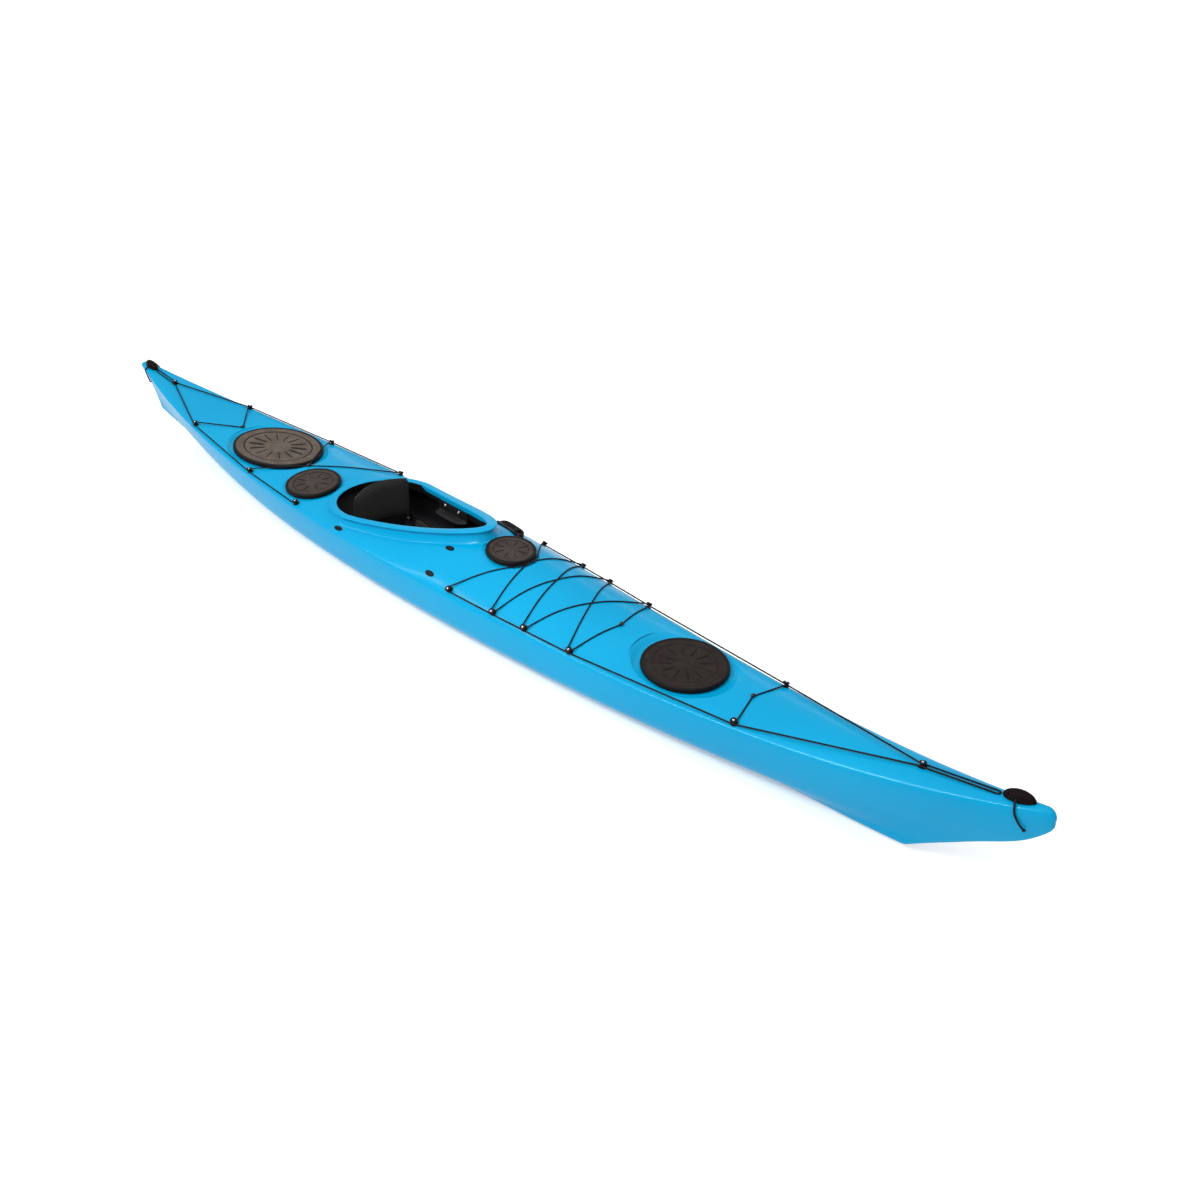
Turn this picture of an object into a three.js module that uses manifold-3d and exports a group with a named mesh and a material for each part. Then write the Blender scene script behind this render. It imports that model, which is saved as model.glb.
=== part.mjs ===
// A one-person sea kayak in moulded polyethylene, with its hatches, cockpit outfitting, skeg and deck lines.
// Millimetres, +X towards the bow, +Y to port, +Z up. The origin is under the middle of the boat, at the keel.
import * as THREE from "three";
import { mergeVertices } from "three/addons/utils/BufferGeometryUtils.js";
import Module from "manifold-3d";

const wasm = await Module();
wasm.setup();

// Hull lines
const hullLength = 5100;
const hullBeam = 578;
const hullWall = 4.5;
const widestAftOfMiddle = 255;
const sheerHeight = 216;
const bowSheerHeight = 420;
const sternSheerHeight = 322;
const foredeckRise = 114;
const deckEdgeLift = 9;
const stemHalfWidth = 15;
const noseRadius = 40;
const bowOverhang = 413;
const sternOverhang = 134;
const forefootHeight = 25;
const heelHeight = 108;
const bowRockerStart = 700;
const sternRockerStart = 900;
const solidBowLength = 190;
const solidSternLength = 170;

// Clearances and overruns that many pieces share
const seatGap = 0.4;
const runningGap = 0.6;
const cutOverrun = 60;

// Cockpit and its coaming
const cockpitRear = -706;
const cockpitWidest = -488;
const cockpitFront = 146;
const cockpitHalfWidth = 205;
const rearRimRise = 48;
const frontRimRise = 184;
const rearLipWidth = 28;
const frontLipWidth = 42;
const rimLipThickness = 5;
const coamingWall = 6.5;
const coamingFlare = 30;
const coamingFillet = 15;
const coamingDepth = 6;

// Hatches: where they are, how large outside, and how far the deck is sunk for them
const hatches = [
  { name: "bow", x: 1200, y: 0, halfLength: 161, halfWidth: 161, drop: 15, facets: 26, ribs: 12 },
  { name: "stern", x: -1311, y: 0, halfLength: 246, halfWidth: 190, drop: 11, facets: 28, ribs: 14 },
  { name: "day", x: -862, y: -116, halfLength: 123, halfWidth: 123, drop: 8, facets: 20, ribs: 8 },
  { name: "pod", x: 300, y: 0, halfLength: 101, halfWidth: 101, drop: 9, facets: 20, ribs: 8 },
];
const hatchSeatMargin = 13;
const rimFlangeInset = 36;
const deckHoleInset = 30;
const rimCollarInset = 8.4;
const rimCollarWall = 6;
const rimCollarHeight = 15;
const rimFlangeThickness = 4;
const coverSkirt = 8;
const coverSkirtClear = 4;
const coverPlate = 4;
const coverBead = 3;
const coverRibHeight = 2.5;
const coverRibWidth = 9;
const coverRibInnerShare = 0.3;
const coverRibOuterShare = 0.82;
const coverHubShare = 0.22;

// Bulkheads
const bulkheadThickness = 12;
const bulkheads = { front: 960, rear: -752, day: -1040 };

// Storage pod under the small foredeck hatch
const podDepth = 112;
const podWall = 2.5;
const podFillet = 12;

// Seat
const seatRear = -562;
const seatFront = -242;
const seatHalfWidth = 170;
const seatPanHeight = 40;
const seatSideHeight = 84;
const seatShell = 5;
const seatFrontLift = 18;
const seatFootOut = 95;
const seatFootWidth = 26;
const cushionHalfLength = 124;
const cushionHalfWidth = 122;
const cushionHeight = 30;
const hipPadThickness = 13;
const hipPadLength = 150;

// Backrest
const backrestPivotX = -527;
const backrestPivotZ = 118;
const backrestPinRadius = 5;
const backrestArmInner = 152;
const backrestArmThickness = 5.5;
const backrestArmRadius = 13;
const backrestHalfWidth = 140;
const backrestBottom = 130;
const backrestTop = 330;
const backrestShoulderDrop = 26;
const backrestSetBack = 45;
const backrestLean = 8;
const backrestShell = 5;
const backrestPad = 22;
const backrestPadDrop = 9;

// Thigh braces
const braceRear = -345;
const braceFront = -70;
const bracePlate = 6;
const braceTopDrop = 12;
const braceDepth = 66;
const braceHook = 46;

// Foot rails and pegs
const railRear = 430;
const railLength = 400;
const railHeight = 26;
const railDepth = 12;
const railCentreHeight = 128;
const pegX = 640;
const pegLength = 60;
const pegPlateWidth = 78;
const pegPlateHeight = 100;
const pegPlateThickness = 9;
const pegCarriageWall = 6;

// Skeg
const skegPivotLift = 30;
const skegBladeLength = 262;
const skegBladeHeight = 132;
const skegBladeThickness = 6;
const skegNoseRadius = 20;
const skegBoxWall = 2.5;
const skegBoxInside = 11;
const skegBoxMargin = 8;
const skegPinRadius = 3;

// Skeg slider and cable
const sliderX = 117;
const sliderY = 168;
const sliderAngle = -0.38;
const sliderLength = 236;
const sliderWidth = 38;
const sliderRise = 8;
const sliderSlotWidth = 13;
const sliderSlotDepth = 5;
const sliderTravel = 130;
const knobLength = 26;
const knobWidth = 22;
const knobHeight = 13;
const knobStem = 12;
const cableRadius = 4;
const cableDrop = 20;
const cableBend = [
  { ahead: 58, y: 2, rise: 0 },
  { ahead: 98, y: 18, rise: 7 },
  { ahead: 158, y: 60, rise: 24 },
  { ahead: 248, y: 118, rise: 47 },
];
const cableStations = [-1400, -1220, -1040, -900, -752, -560, -380, -200, -90];
const cableRise = [
  { x: -10, y: 238, under: 30 },
  { x: 40, y: 214, under: 22 },
  { x: 80, y: 196, under: 13 },
];

// Cords and deck fittings
const deckLineRadius = 2.75;
const bungeeRadius = 2.5;
const cordGap = 0.5;
const fittingBaseRadius = 14;
const fittingBaseHeight = 2.5;
const fittingPostRadius = 5;
const fittingCapRadius = 12.5;
const fittingCapHeight = 4.5;
const fittingInset = 20;
const beadRadius = 7;
const beadLength = 22;
const cordStep = 6;
const cordSag = 0.3;

// Toggles
const toggleHalfLength = 52;
const toggleHalfWidth = 21;
const toggleHeight = 27;
const toggleCordRadius = 3;
const toggleHoleRadius = 3.5;
const toggleHoleHeight = 12;
const toggleBend = 8;
const hullHoleRadius = 5.5;
const toggleEnds = [
  { name: "bow", end: 1, setback: 114, holeSetback: 72, holeDrop: 75 },
  { name: "stern", end: -1, setback: 98, holeSetback: 80, holeDrop: 74 },
];

// Where the deck fittings stand along the boat
const foredeckStations = [226, 461, 620, 839];
const bowStation = 1530;
const bowCentreSetback = 417;
const aftStations = { starboard: [-798, -1200, -1785], port: [-716, -1200, -1785] };
const sternCentreSetback = 320;
const foredeckBeadX = 893;
const bowBeadX = 1497;
const sternBeadX = -1611;
const hatchClip = { x: -1028, y: -25 };
const foredeckCrossings = [558, 740];

// Small recessed lashing points in the deck
const recesses = [
  { x: 87, y: -134 },
  { x: 93, y: -248 },
  { x: -486, y: -262 },
];
const recessHalfLength = 25;
const recessHalfWidth = 12;
const recessDepth = 3.6;

// Hull lines without a length: how full or fine each curve is
const bowFineness = 1.81;
const sternFineness = 2.11;
const sheerSweep = 3.9;
const deckEdgePower = 14;
const deckCrownPower = 2.1;
const bowStemPower = 0.98;
const sternStemPower = 0.62;
const bowStemTopShare = 0.85;
const overhangPower = 3;
const rockerPower = 2;
const sectionBlendPower = 2.4;
const rimSweep = 1.75;
const cushionSquarePower = 0.55;
const padCrown = 1.3;
const padTaper = 0.35;
const pegLipShare = 0.75;
const steepest = 0.45;
const skegPivotShare = -0.6855;

// Facets and steps
const coamingStations = 14;
const cushionFacets = 20;
const pinFacets = 12;
const fittingFacets = 8;
const cordSides = 6;
const wrapStep = Math.PI / 5;
// Where the bungee rests against the pod's cover, in radians from dead ahead
const coverTurns = [-0.67, -0.45, -0.22, 0];


// Across one side, from the keel to the sheer: share of the half beam, share of the depth
const midshipSectionShares = [[0.07, 0], [0.45, 0.075], [0.8, 0.19], [0.915, 0.32], [0.975, 0.62], [1, 0.95]];
const endSectionShares = [[0.3, 0], [0.4, 0.13], [0.5, 0.28], [0.6, 0.44], [0.8, 0.72], [0.99, 0.96]];
// Across one side of the deck, from the sheer to the centreline: share of the half beam
const deckWidthShares = [1, 0.965, 0.86, 0.67, 0.45, 0.23, 0];
// Along the boat: share of the half length, and the deck ridge's rise over the sheer as a share of foredeckRise
const ridgeShares = [
  [-1, 0.057], [-0.75, 0.03], [-0.52, 0.08], [-0.35, 0.27], [-0.25, 0.3], [-0.1, 0.6], [0.04, 1.08],
  [0.11, 1.05], [0.25, 0.78], [0.36, 0.385], [0.47, 0.176], [0.6, 0.162], [0.83, 0.16], [1, 0.058],
];
// Where the hull's ribs stand, as shares of the half length
const ribShares = [
  -1, -0.998, -0.993, -0.985, -0.965, -0.93, -0.88, -0.82, -0.75, -0.67, -0.59, -0.51, -0.43, -0.35, -0.27,
  -0.19, -0.11, -0.03, 0.05, 0.12, 0.19, 0.26, 0.33, 0.4, 0.47, 0.54, 0.61, 0.68, 0.75, 0.82, 0.88, 0.93,
  0.965, 0.985, 0.993, 0.998, 1,
];
// The cockpit's keyhole: how far each handle of its curves reaches, as shares of its length or half width
const rearHandleShares = { across: 0.655, along: 0.13 };
const frontHandleShares = { across: 0.45, along: 0.04 };
// The seat along its length: share of the length, share of the side height, share of the front lift
const seatShares = [[0, 0.75, 0.3], [0.12, 1, 0.05], [0.45, 1, 0], [0.7, 0.7, 0.1], [0.88, 0.35, 0.6], [1, 0.2, 1]];
// The seat across one side: share of the half width, share of the side height
const seatSectionShares = [[0, 0], [0.5, 0.02], [0.78, 0.14], [0.92, 0.42], [1, 1]];
// Where a piece that rests on the deck is felt for, as shares of its reach
const restShares = [
  [1, 0], [-1, 0], [0, 1], [0, -1], [0.7, 0.7], [-0.7, 0.7], [0.7, -0.7], [-0.7, -0.7],
  [0.5, 0], [-0.5, 0], [0, 0.5], [0, -0.5],
];
// The hip pads along their length, and the backrest across its width
const hipPadShares = [0, 0.47, 1];
const backrestStationShares = [-1, -0.9, -0.7, -0.4, 0, 0.4, 0.7, 0.9, 1];
// The toggle cord's way down the hull's side
const toggleCordShares = [0.25, 0.33, 0.67];
// A cushion from its bottom up: share of the height, share of the outline
const cushionShares = [[0, 0.9], [0.25, 1], [0.6, 1], [0.85, 0.9], [1, 0.62]];
// The skeg blade: share of the length aft of its pivot, share of the height above the keel line
const skegBladeShares = [[0, -0.14], [0.9, -0.11], [1, 0.05], [0.98, 0.3], [0.6, 0.78], [0.25, 1], [0.1, 0.75], [0, 0.14]];

const halfLength = hullLength / 2;
const halfBeam = hullBeam / 2;
const skegPivotX = skegPivotShare * halfLength;
const weldTolerance = 0.001;

const vec = (x, y, z) => new THREE.Vector3(x, y, z);

// Solids from rings of points
function ringMesh(rings, { loop = false } = {}) {
  const count = rings[0].length;
  const positions = rings.flatMap((ring) => ring.flatMap((point) => point.toArray()));
  const indices = [];
  const at = (ring, point) => (ring % rings.length) * count + (point % count);
  const spans = loop ? rings.length : rings.length - 1;
  for (let ring = 0; ring < spans; ring += 1) {
    for (let point = 0; point < count; point += 1) {
      indices.push(at(ring, point), at(ring + 1, point), at(ring + 1, point + 1));
      indices.push(at(ring, point), at(ring + 1, point + 1), at(ring, point + 1));
    }
  }
  if (!loop) {
    const last = rings.length - 1;
    for (let low = 0, high = count - 1; high - low > 1; low += 1, high -= 1) {
      indices.push(at(0, low), at(0, low + 1), at(0, high));
      indices.push(at(last, low), at(last, high), at(last, low + 1));
      if (high - low > 2) {
        indices.push(at(0, low + 1), at(0, high - 1), at(0, high));
        indices.push(at(last, low + 1), at(last, high), at(last, high - 1));
      }
    }
  }
  const geometry = new THREE.BufferGeometry();
  geometry.setAttribute("position", new THREE.Float32BufferAttribute(positions, 3));
  geometry.setIndex(indices);
  return geometry;
}

function toSolid(geometry) {
  const bare = geometry.index ? geometry.toNonIndexed() : geometry.clone();
  bare.deleteAttribute("normal");
  bare.deleteAttribute("uv");
  const merged = mergeVertices(bare, weldTolerance);
  const triVerts = [];
  for (let i = 0; i < merged.index.count; i += 3) {
    const [a, b, c] = [merged.index.getX(i), merged.index.getX(i + 1), merged.index.getX(i + 2)];
    if (a !== b && b !== c && c !== a) triVerts.push(a, b, c);
  }
  const build = (corners) =>
    new wasm.Manifold(
      new wasm.Mesh({
        numProp: 3,
        vertProperties: merged.attributes.position.array,
        triVerts: new Uint32Array(corners),
      }),
    );
  const solid = build(triVerts);
  return solid.volume() > 0 ? solid : build(triVerts.reverse());
}

function toGeometry(solid) {
  const mesh = solid.getMesh();
  const positions = new Float32Array(mesh.numVert * 3);
  for (let i = 0; i < mesh.numVert; i += 1) {
    positions.set(mesh.vertProperties.subarray(i * mesh.numProp, i * mesh.numProp + 3), i * 3);
  }
  const geometry = new THREE.BufferGeometry();
  geometry.setAttribute("position", new THREE.BufferAttribute(positions, 3));
  geometry.setIndex(new THREE.BufferAttribute(mesh.triVerts, 1));
  return geometry;
}

const loft = (rings, options) => toSolid(ringMesh(rings, options));
const joined = (solids) => solids.reduce((all, solid) => all.add(solid));
const placed = (solid, matrix) => solid.transform(matrix.elements);

function block(lowX, highX, lowY, highY, lowZ, highZ) {
  const box = new THREE.BoxGeometry(highX - lowX, highY - lowY, highZ - lowZ);
  return toSolid(box).translate([(lowX + highX) / 2, (lowY + highY) / 2, (lowZ + highZ) / 2]);
}

// A round or oval solid about the local Z axis: its profile holds offsets from the outline, and heights
function ovalTurned(profile, halfLong, halfWide, facets) {
  const rings = [];
  for (let i = 0; i < facets; i += 1) {
    const angle = (i / facets) * 2 * Math.PI;
    rings.push(
      profile.map(([offset, height]) =>
        vec(
          Math.max(0, halfLong + offset) * Math.cos(angle),
          Math.max(0, halfWide + offset) * Math.sin(angle),
          height,
        ),
      ),
    );
  }
  return loft(rings, { loop: true });
}

function ovalDisc(grown, low, high, halfLong, halfWide, facets) {
  const outline = (height) => {
    const ring = [];
    for (let i = 0; i < facets; i += 1) {
      const angle = (i / facets) * 2 * Math.PI;
      ring.push(vec((halfLong + grown) * Math.cos(angle), (halfWide + grown) * Math.sin(angle), height));
    }
    return ring;
  };
  return loft([outline(low), outline(high)]);
}

function turned(profile, facets) {
  const outline = profile.map(([radius, height]) => new THREE.Vector2(radius, height));
  return toSolid(new THREE.LatheGeometry(outline, facets).rotateX(Math.PI / 2));
}

// A round tube along points, in a body of its own
function cord(points, radius, sides, { loop = false } = {}) {
  const rings = points.map((point, i) => {
    const before = loop ? points[(i + points.length - 1) % points.length] : points[Math.max(0, i - 1)];
    const after = loop ? points[(i + 1) % points.length] : points[Math.min(points.length - 1, i + 1)];
    const along = after.clone().sub(before).normalize();
    const reference = loop ? vec(1, 0, 0) : vec(0, 0, 1);
    const across = reference.cross(along).normalize();
    const up = along.clone().cross(across);
    return Array.from({ length: sides }, (_, k) => {
      const angle = (k / sides) * 2 * Math.PI;
      return point
        .clone()
        .addScaledVector(across, radius * Math.cos(angle))
        .addScaledVector(up, radius * Math.sin(angle));
    });
  });
  return loft(rings, { loop });
}

// A smooth curve through [place, value] pairs
function alongCurve(pairs, place) {
  const last = pairs.length - 1;
  if (place <= pairs[0][0]) return pairs[0][1];
  if (place >= pairs[last][0]) return pairs[last][1];
  let i = 0;
  while (place > pairs[i + 1][0]) i += 1;
  const slope = (a, b) => (pairs[b][1] - pairs[a][1]) / (pairs[b][0] - pairs[a][0]);
  const span = pairs[i + 1][0] - pairs[i][0];
  const startSlope = i > 0 ? slope(i - 1, i + 1) : slope(i, i + 1);
  const endSlope = i + 2 <= last ? slope(i, i + 2) : slope(i, i + 1);
  const t = (place - pairs[i][0]) / span;
  return (
    pairs[i][1] * (2 * t ** 3 - 3 * t ** 2 + 1) +
    startSlope * span * (t ** 3 - 2 * t ** 2 + t) +
    pairs[i + 1][1] * (3 * t ** 2 - 2 * t ** 3) +
    endSlope * span * (t ** 3 - t ** 2)
  );
}

// The hull's lines
function noseShare(x) {
  const into = (Math.abs(x) - (halfLength - noseRadius)) / noseRadius;
  return into <= 0 ? 1 : Math.sqrt(Math.max(0, 1 - into ** 2));
}

function halfBeamAt(x) {
  const ahead = x + widestAftOfMiddle;
  const t = ahead > 0 ? ahead / (halfLength + widestAftOfMiddle) : -ahead / (halfLength - widestAftOfMiddle);
  const fineness = ahead > 0 ? bowFineness : sternFineness;
  const stem = stemHalfWidth * (0.25 + 0.75 * noseShare(x));
  return stem + (halfBeam - stemHalfWidth) * (1 - Math.min(1, t) ** fineness);
}

function sheerAt(x) {
  const end = x > 0 ? bowSheerHeight : sternSheerHeight;
  const sweep = (end - sheerHeight) * Math.abs(x / halfLength) ** sheerSweep;
  return sheerHeight + sweep - noseRadius * (1 - noseShare(x));
}

function deckAt(x, y) {
  const across = Math.min(1, Math.abs(y) / halfBeamAt(x));
  const rise = foredeckRise * alongCurve(ridgeShares, x / halfLength);
  return sheerAt(x) + deckEdgeLift * (1 - across ** deckEdgePower) + rise * (1 - across ** deckCrownPower);
}

function keelAt(x) {
  const start = x > 0 ? bowRockerStart : sternRockerStart;
  const end = x > 0 ? forefootHeight : heelHeight;
  const reach = halfLength - start - (x > 0 ? bowOverhang : sternOverhang);
  return end * Math.max(0, (Math.abs(x) - start) / reach) ** rockerPower;
}

function overhangAt(x) {
  const full = x > 0 ? bowOverhang : -sternOverhang;
  return full * Math.abs(x / halfLength) ** overhangPower;
}

function stemShiftAt(x, depthShare) {
  const bow = Math.max(0, 1 - depthShare / bowStemTopShare) ** bowStemPower;
  const stern = Math.max(0, 1 - depthShare) ** sternStemPower;
  return overhangAt(x) * (x > 0 ? bow : stern);
}

function sectionShares(x) {
  const fullness = Math.abs(x / halfLength) ** sectionBlendPower;
  return midshipSectionShares.map(([width, height], i) => {
    const [endWidth, endHeight] = endSectionShares[i];
    return [width + (endWidth - width) * fullness, height + (endHeight - height) * fullness];
  });
}

// One rib of the hull, pulled in by a distance all round, from the starboard keel over the deck to the port keel
function ribAt(x, inset) {
  const beamHere = Math.max(halfBeamAt(x) - inset, inset / 4);
  const keel = keelAt(x - overhangAt(x)) + inset;
  const sheer = sheerAt(x);
  const side = sectionShares(x).map(([width, depthShare]) =>
    vec(x - stemShiftAt(x, depthShare), width * beamHere, keel + depthShare * (sheer - keel)),
  );
  const deck = deckWidthShares.map((share) => {
    const lowered = deckAt(x, share * halfBeamAt(x)) - (share < 1 ? inset : inset / 2);
    return vec(x, share * beamHere, lowered);
  });
  const half = [...side, ...deck];
  const starboard = half.map((point) => vec(point.x, -point.y, point.z));
  return [...starboard, ...half.slice(0, -1).reverse()];
}

function hullSolid(inset) {
  const from = -halfLength + (inset > 0 ? solidSternLength : 0);
  const to = halfLength - (inset > 0 ? solidBowLength : 0);
  const inner = ribShares.map((share) => share * halfLength).filter((x) => x > from && x < to);
  return loft([from, ...inner, to].map((x) => ribAt(x, inset)));
}

// Half the hull's width outside at a height
function halfWidthAt(x, height) {
  let rib = x;
  let depthShare = 1;
  for (let pass = 0; pass < 12; pass += 1) {
    const keel = keelAt(rib - overhangAt(rib));
    depthShare = Math.min(1, Math.max(0, (height - keel) / (sheerAt(rib) - keel)));
    rib = x + stemShiftAt(rib, depthShare);
  }
  const shares = [...sectionShares(rib), [1, 1]];
  let i = 0;
  while (i < shares.length - 2 && depthShare > shares[i + 1][1]) i += 1;
  const t = (depthShare - shares[i][1]) / (shares[i + 1][1] - shares[i][1]);
  return halfBeamAt(rib) * (shares[i][0] + Math.max(0, t) * (shares[i + 1][0] - shares[i][0]));
}

// A frame on the deck: its origin at x and y, its Z axis square to the deck over the spans given, sunk by a drop
function deckFrame(x, y, spanX, spanY, drop) {
  const slopeX = (deckAt(x + spanX, y) - deckAt(x - spanX, y)) / (2 * spanX);
  const slopeY = (deckAt(x, y + spanY) - deckAt(x, y - spanY)) / (2 * spanY);
  const up = vec(-slopeX, -slopeY, 1).normalize();
  const along = vec(1, 0, slopeX).normalize();
  const across = up.clone().cross(along);
  const matrix = new THREE.Matrix4().makeBasis(along, across, up);
  return matrix.setPosition(x, y, deckAt(x, y) - drop);
}

const outerHull = hullSolid(0);
const hullInside = hullSolid(hullWall + seatGap);

// The cockpit's outline, from the middle of its rear edge round the port side and back, with its outward normals
function cockpitOutline(perCurve) {
  const length = cockpitFront - cockpitRear;
  const rear = new THREE.CubicBezierCurve(
    new THREE.Vector2(cockpitRear, 0),
    new THREE.Vector2(cockpitRear, rearHandleShares.across * cockpitHalfWidth),
    new THREE.Vector2(cockpitWidest - rearHandleShares.along * length, cockpitHalfWidth),
    new THREE.Vector2(cockpitWidest, cockpitHalfWidth),
  );
  const front = new THREE.CubicBezierCurve(
    new THREE.Vector2(cockpitWidest, cockpitHalfWidth),
    new THREE.Vector2(cockpitWidest + frontHandleShares.along * length, cockpitHalfWidth),
    new THREE.Vector2(cockpitFront, frontHandleShares.across * cockpitHalfWidth),
    new THREE.Vector2(cockpitFront, 0),
  );
  const port = [];
  [rear, front].forEach((curve, which) => {
    for (let i = 0; i < perCurve + which; i += 1) {
      const point = curve.getPoint(i / perCurve);
      const tangent = curve.getTangent(i / perCurve);
      port.push({ point, normal: new THREE.Vector2(-tangent.y, tangent.x) });
    }
  });
  const mirrored = port.slice(1, -1).reverse();
  const starboard = mirrored.map(({ point, normal }) => ({
    point: new THREE.Vector2(point.x, -point.y),
    normal: new THREE.Vector2(normal.x, -normal.y),
  }));
  return [...port, ...starboard];
}

function rimTopAt(x) {
  const share = Math.min(1, Math.max(0, (x - cockpitRear) / (cockpitFront - cockpitRear)));
  return sheerHeight + rearRimRise + (frontRimRise - rearRimRise) * share ** rimSweep;
}

function lipWidthAt(x) {
  const share = Math.min(1, Math.max(0, (x - cockpitRear) / (cockpitFront - cockpitRear)));
  return rearLipWidth + (frontLipWidth - rearLipWidth) * share ** rimSweep;
}

// One ring of the coaming's stations: points at an outward offset, at the height that a function gives
function outlineRing(stations, offset, heightAt) {
  return stations.map(({ point, normal }) => {
    const out = typeof offset === "function" ? offset(lipWidthAt(point.x)) : offset;
    const place = point.clone().addScaledVector(normal, out);
    return vec(place.x, place.y, heightAt(place, point));
  });
}

function coaming() {
  const stations = cockpitOutline(coamingStations);
  const top = (place, point) => rimTopAt(point.x);
  const deck = (place) => deckAt(place.x, place.y);
  const flareTop = (place, point) =>
    deck(place) + Math.min(coamingFillet, (top(place, point) - rimLipThickness - deck(place)) / 2);
  const under = (place, point) => top(place, point) - rimLipThickness;
  const edge = (place, point) => top(place, point) - rimLipThickness / 2;
  const profile = [
    [0, (place) => deck(place) - coamingDepth],
    [0, edge],
    [rimLipThickness / 2, top],
    [(lip) => lip - rimLipThickness / 4, top],
    [(lip) => lip, edge],
    [(lip) => lip - rimLipThickness / 4, under],
    [coamingWall, under],
    [coamingWall, flareTop],
    [coamingWall + coamingFlare / 3, (place, point) => (2 * deck(place) + flareTop(place, point)) / 3],
    [coamingWall + coamingFlare, (place) => deck(place) - seatGap],
    [coamingWall + coamingFlare, (place) => deck(place) - coamingDepth / 2],
  ];
  const around = profile.map(([offset, heightAt]) => outlineRing(stations, offset, heightAt));
  return loft(stations.map((_, i) => around.map((ring) => ring[i])), { loop: true });
}

function cockpitCut() {
  const stations = cockpitOutline(coamingStations);
  const height = (lift) => (place) => deckAt(place.x, place.y) + lift;
  const middle = coamingWall / 2;
  return loft([
    outlineRing(stations, middle, height(-cutOverrun)),
    outlineRing(stations, middle, height(cutOverrun)),
  ]);
}

// Hatches
function hatchSeat({ x, y, halfLength: long, halfWidth: wide, drop }) {
  return deckFrame(x, y, long, wide, drop);
}

function hatchDisc(hatch, grown, low, high) {
  const disc = ovalDisc(grown, low, high, hatch.halfLength, hatch.halfWidth, hatch.facets);
  return placed(disc, hatchSeat(hatch));
}

// The space that a hatch's sunk seat takes, with the shell's wall round it
const hatchCup = (hatch, gap) => hatchDisc(hatch, hatchSeatMargin + hullWall + gap, -hullWall - gap, cutOverrun);

function sinkHatch(shell, hatch) {
  const cup = hatchCup(hatch, 0).intersect(outerHull);
  const sunk = hatchDisc(hatch, hatchSeatMargin, 0, cutOverrun);
  const hole = hatchDisc(hatch, -deckHoleInset, -cutOverrun, cutOverrun);
  return shell.add(cup).subtract(sunk).subtract(hole);
}

function hatchRim(hatch) {
  const collarIn = -rimCollarInset - rimCollarWall;
  const profile = [
    [-rimFlangeInset, seatGap],
    [-rimCollarInset, seatGap],
    [-rimCollarInset, rimCollarHeight],
    [collarIn, rimCollarHeight],
    [collarIn, seatGap + rimFlangeThickness],
    [-rimFlangeInset, seatGap + rimFlangeThickness],
  ];
  return placed(ovalTurned(profile, hatch.halfLength, hatch.halfWidth, hatch.facets), hatchSeat(hatch));
}

function hatchCover(hatch) {
  const under = rimCollarHeight + seatGap;
  const top = under + coverPlate;
  const centre = -Math.max(hatch.halfLength, hatch.halfWidth);
  const skirt = -rimCollarInset + seatGap;
  const profile = [
    [centre, under],
    [skirt, under],
    [skirt, coverSkirtClear],
    [0, coverSkirtClear],
    [coverBead / 2, under / 2],
    [0, top],
    [-coverSkirt / 2, top + coverBead],
    [-coverSkirt - coverBead, top + coverBead],
    [-coverSkirt - 2 * coverBead, top],
    [centre, top],
  ];
  const cap = ovalTurned(profile, hatch.halfLength, hatch.halfWidth, hatch.facets);
  const ribs = [];
  for (let i = 0; i < hatch.ribs; i += 1) {
    const angle = ((i + 0.5) / hatch.ribs) * 2 * Math.PI;
    const reach = [coverRibInnerShare, coverRibOuterShare].map((share) =>
      vec(share * hatch.halfLength * Math.cos(angle), share * hatch.halfWidth * Math.sin(angle), 0),
    );
    const long = reach[0].distanceTo(reach[1]);
    const bar = block(0, long, -coverRibWidth / 2, coverRibWidth / 2, -coverPlate / 2, coverRibHeight);
    const turn = Math.atan2(reach[1].y - reach[0].y, reach[1].x - reach[0].x);
    const matrix = new THREE.Matrix4().makeRotationZ(turn).setPosition(reach[0].x, reach[0].y, top);
    ribs.push(placed(bar, matrix));
  }
  const hub = ovalDisc(
    0,
    under,
    top + coverRibHeight / 2,
    coverHubShare * hatch.halfLength,
    coverHubShare * hatch.halfWidth,
    hatch.facets / 2,
  );
  return placed(joined([cap, hub, ...ribs]), hatchSeat(hatch));
}

// Bulkheads: plates welded across the hull, cut clear of the sunk hatch seats and bored for the skeg cable
function bulkhead(x) {
  const half = bulkheadThickness / 2;
  const slab = block(x - half, x + half, -hullBeam, hullBeam, 0, hullBeam);
  const plate = hatches.reduce((all, hatch) => all.subtract(hatchCup(hatch, seatGap)), slab.intersect(hullInside));
  return plate.subtract(cord(cableRoute(), cableRadius + seatGap, cordSides));
}

// The pod's tub hangs in the deck hole, its edge under the flange of the hatch rim
function podTub() {
  const pod = hatches.find((hatch) => hatch.name === "pod");
  const out = -deckHoleInset - seatGap;
  const profile = [
    [-pod.halfLength, -podDepth],
    [out - podFillet, -podDepth],
    [out, podFillet - podDepth],
    [out, 0],
    [out - podWall, 0],
    [out - podWall, podFillet - podDepth],
    [out - podWall - podFillet, podWall - podDepth],
    [-pod.halfLength, podWall - podDepth],
  ];
  return placed(ovalTurned(profile, pod.halfLength, pod.halfWidth, pod.facets), hatchSeat(pod));
}

function cylinderAcross(x, z, radius, fromY, toY, facets) {
  const geometry = new THREE.CylinderGeometry(radius, radius, Math.abs(toY - fromY), facets);
  return toSolid(geometry).translate([x, (fromY + toY) / 2, z]);
}

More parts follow.
